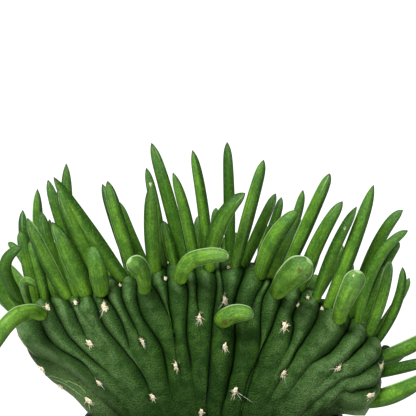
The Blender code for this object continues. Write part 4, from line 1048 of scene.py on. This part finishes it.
def make_leaves(name, lines, seed, outside):
    """Sections carried along the leaves' lines, closed at both ends.

    A section is an oval of half width w, whose outer side bulges by w times the thickness and whose inner
    side by about half of that. A keel takes k |cos t| off the bulge, with a k of its own for each leaf. The
    outside is 1 for the back and -1 for the front.
    """
    draw = np.random.default_rng(seed)
    count = len(lines)
    here, half, most, fresh = (np.array(values) for values in zip(*lines))
    ahead = unit(np.gradient(here, axis=1))
    across = unit(np.cross(ahead, [0.0, -1.0, 0.0]))
    twist = most[:, None, None] * draw.normal(0.0, 1.0, (count, 1, 1)) * (0.4 + LEAF_STEPS[:, None])
    level, deep = across, np.cross(ahead, across)
    across = level * np.cos(twist) + deep * np.sin(twist)
    deep = deep * np.cos(twist) - level * np.sin(twist)
    turn = -turns(LEAF_SIDES)
    keel = 1.0 - LEAF_KEEL * draw.random((count, 1, 1)) * np.abs(np.cos(turn))
    bulge = np.sin(turn) * np.where(np.sin(turn) * outside > 0, 1.0, INNER_BULGE) * keel
    half = half[..., None, None]
    points = here[:, :, None] + half * (across[:, :, None] * np.cos(turn)[:, None])
    points += half * LEAF_THICKNESS * (deep[:, :, None] * bulge[..., None])
    marks = {"along": LEAF_STEPS[:, None], "side": np.cos(turn), "fresh": fresh[:, None, None]}
    marks["leaf"] = (0.3 + 0.618 * np.arange(count)[:, None, None]) % 1.0
    for tint, blemishes in BLEMISHES.items():
        marks[tint] = np.zeros(points.shape[:-1])
        for where_across, where_up, radius in blemishes:
            first, second = (sighted(where_across, where_up, depth) for depth in (0.0, -40.0))
            off = points - first
            off = off - unit(second - first) * np.sum(off * unit(second - first), axis=-1, keepdims=True)
            marks[tint] = np.maximum(marks[tint], np.exp(-np.sum(off * off, axis=-1) / radius**2))
    return surface(name, points, ring_index(*points.shape[:-1])[:, :, ::-1], marks)


def leaf_finish():
    """Leaf skin: yellow-green at a fresh heel, fresh green, bluish towards the tip, streaked and clouded.
    Painted shade makes one half of a leaf darker than the other, darkens it towards its edges, and darkens
    the heels of leaves that are less fresh. A thin pale line of painted highlight runs along an edge, and
    painted glints streak the tips."""
    leaf = Finish("fleshy leaf skin", {"Specular IOR Level": 0.12, "IOR": 1.45})
    names = ("along", "side", "leaf", "fresh", "pale", "brown")
    along, side, which, fresh, pale, brown = (leaf.mark(name) for name in names)
    cloud, fine = leaf.noise(5.0, 4.0), leaf.noise(0.7, 3.0)
    grid = leaf.node("CombineXYZ", None, {"X": side * 2.6, "Y": along * 1.3, "Z": which * 60.0})
    streak = leaf.node("TexNoise", None, {"Vector": grid, "Scale": 1.0, "Detail": 5.0, "Roughness": 0.65})
    # Which half of each leaf gets painted shade, how near a point is to the leaf's edge, and whether the leaf
    # is curled.
    half, edge, curl = side * (which * 6.0 - 3.0), leaf.math("ABSOLUTE", side), fresh.step(0.8, 0.9)
    clouded = along + 0.3 * cloud
    heel = 1.0 - clouded.step(0.12, 0.55)
    tip = leaf.mix(curl, (0.062, 0.150, 0.050), (0.115, 0.240, 0.065))
    # Painted glints: pale streaks near the tips of straight leaves.
    tip_glint = streak.step(0.58, 0.66) * along.step(0.70, 0.88) * (1.0 - curl)
    # A thin pale line of painted highlight along the edge of the lit half, and round the rim and end of a
    # curled leaf.
    line = edge.step(0.90, 0.98) * (0.0 - half).step(0.2, 1.2) * along.step(0.05, 0.4)
    lip = curl * (edge.step(0.90, 0.98) * along.step(0.3, 0.6) + along.step(0.97, 0.99))
    speckle = fine.step(0.3, 0.5)
    colour = leaf.coats(
        leaf.mix(which, (0.014, 0.062, 0.002), (0.128, 0.305, 0.022)),
        (fresh * 0.65, (0.170, 0.360, 0.034)),
        (curl * 0.3, (0.210, 0.400, 0.050)),
        (cloud.step(0.42, 0.62) * 0.6, (0.030, 0.112, 0.010)),
        (heel * fresh * 0.9, (0.195, 0.415, 0.014)),
        # Painted shade at the heels of less fresh leaves, where they crowd on the rim.
        (heel * (1.0 - fresh) * 0.75, (0.022, 0.078, 0.003)),
        (streak.step(0.40, 0.60) * 0.55, (0.020, 0.080, 0.004)),
        (streak.step(0.58, 0.70) * 0.5, (0.220, 0.400, 0.100)),
        (clouded.step(0.75, 1.2) * 0.6, tip),
        # Painted shade on one half of each leaf.
        (half.step(0.1, 1.6) * (0.88 - 0.45 * curl), (0.010, 0.046, 0.002)),
        # Painted shade towards the leaf's edges.
        (edge.step(0.60, 0.98) * 0.5, (0.012, 0.054, 0.002)),
        (fine.step(0.46, 0.64) * 0.3, (0.020, 0.075, 0.004)),
        ((1.0 - fine.step(0.32, 0.50)) * 0.16, (0.240, 0.430, 0.110)),
        # Painted glints near the tips.
        (tip_glint * 0.5, (0.380, 0.540, 0.260)),
        # Painted highlight along an edge.
        (leaf.math("MAXIMUM", line, lip) * 0.8, (0.360, 0.520, 0.240)),
        (along.step(0.96, 0.985) * (1.0 - curl) * 0.85, (0.050, 0.050, 0.030)),
        (pale.step(0.35, 0.6) * speckle, (0.50, 0.52, 0.28)),
        (brown.step(0.35, 0.6) * speckle * 0.75, (0.100, 0.060, 0.018)),
    )
    leaf.lay(colour, 0.38 + 0.16 * cloud, streak + fine, 0.15)
    return leaf


leaf_skin = leaf_finish()
leaf_skin.onto(make_leaves("front_leaves", front_leaf_lines(), LEAF_SEED, -1), "plant_skin")
leaf_skin.onto(make_leaves("back_leaves", back_leaf_lines(), LEAF_SEED + 1, 1), "plant_skin")

# Studio
# A plain pale floor that runs to the horizon, soft white light from all around with a broad lamp above on the
# left, and the camera where the photograph's was, a little above the plant.
FLOOR_RADIUS, FLOOR_TOP, FLOOR_UNDER, FLOOR_SIDES = 12000.0, -0.1, -0.6, 64
SKY_STRENGTH, LAMP_STRENGTH, LAMP_ANGLE, LAMP_WAY = 0.24, 4.9, 22.0, (-0.3, -0.6, 0.9)
VIEW_WIDTH = 156.0


def make_studio():
    """Floor, light and camera."""
    profile = [(0.0, FLOOR_UNDER), (FLOOR_RADIUS, FLOOR_UNDER), (FLOOR_RADIUS, FLOOR_TOP), (0.0, FLOOR_TOP)]
    floor = turned("floor", profile, FLOOR_SIDES)
    floor.data.shade_flat()
    paper = Finish("white paper", {"Specular IOR Level": 0.0})
    paper.lay(paper.mix(paper.noise(400.0), (0.82, 0.82, 0.82), (0.84, 0.84, 0.84)), 0.9)
    floor.data.materials.append(paper.material)
    world = bpy.data.worlds.new("studio")
    world.use_nodes = True
    sky = world.node_tree.nodes["Background"].inputs
    sky["Color"].default_value, sky["Strength"].default_value = (1.0, 1.0, 1.0, 1.0), SKY_STRENGTH
    bpy.context.scene.world = world
    lamp = bpy.data.objects.new("lamp", bpy.data.lights.new("lamp", "SUN"))
    lamp.data.energy, lamp.data.angle = LAMP_STRENGTH, math.radians(LAMP_ANGLE)
    lamp.rotation_euler = Vector(LAMP_WAY).to_track_quat("Z", "Y").to_euler()
    bpy.context.scene.collection.objects.link(lamp)
    camera = bpy.data.objects.new("camera", bpy.data.cameras.new("camera"))
    aim, tilt = Vector(SIGHT_MIDDLE) * MM, math.radians(EYE_ANGLE)
    camera.location = aim + Vector((0.0, -math.cos(tilt), math.sin(tilt))) * EYE_DISTANCE * MM
    camera.rotation_euler = (camera.location - aim).to_track_quat("Z", "Y").to_euler()
    camera.data.angle = 2 * math.atan(VIEW_WIDTH / 2 / EYE_DISTANCE)
    camera.data.clip_start, camera.data.clip_end = 0.02, 40.0
    bpy.context.scene.collection.objects.link(camera)
    bpy.context.scene.camera = camera
    bpy.context.scene.view_settings.view_transform = "Standard"


make_studio()
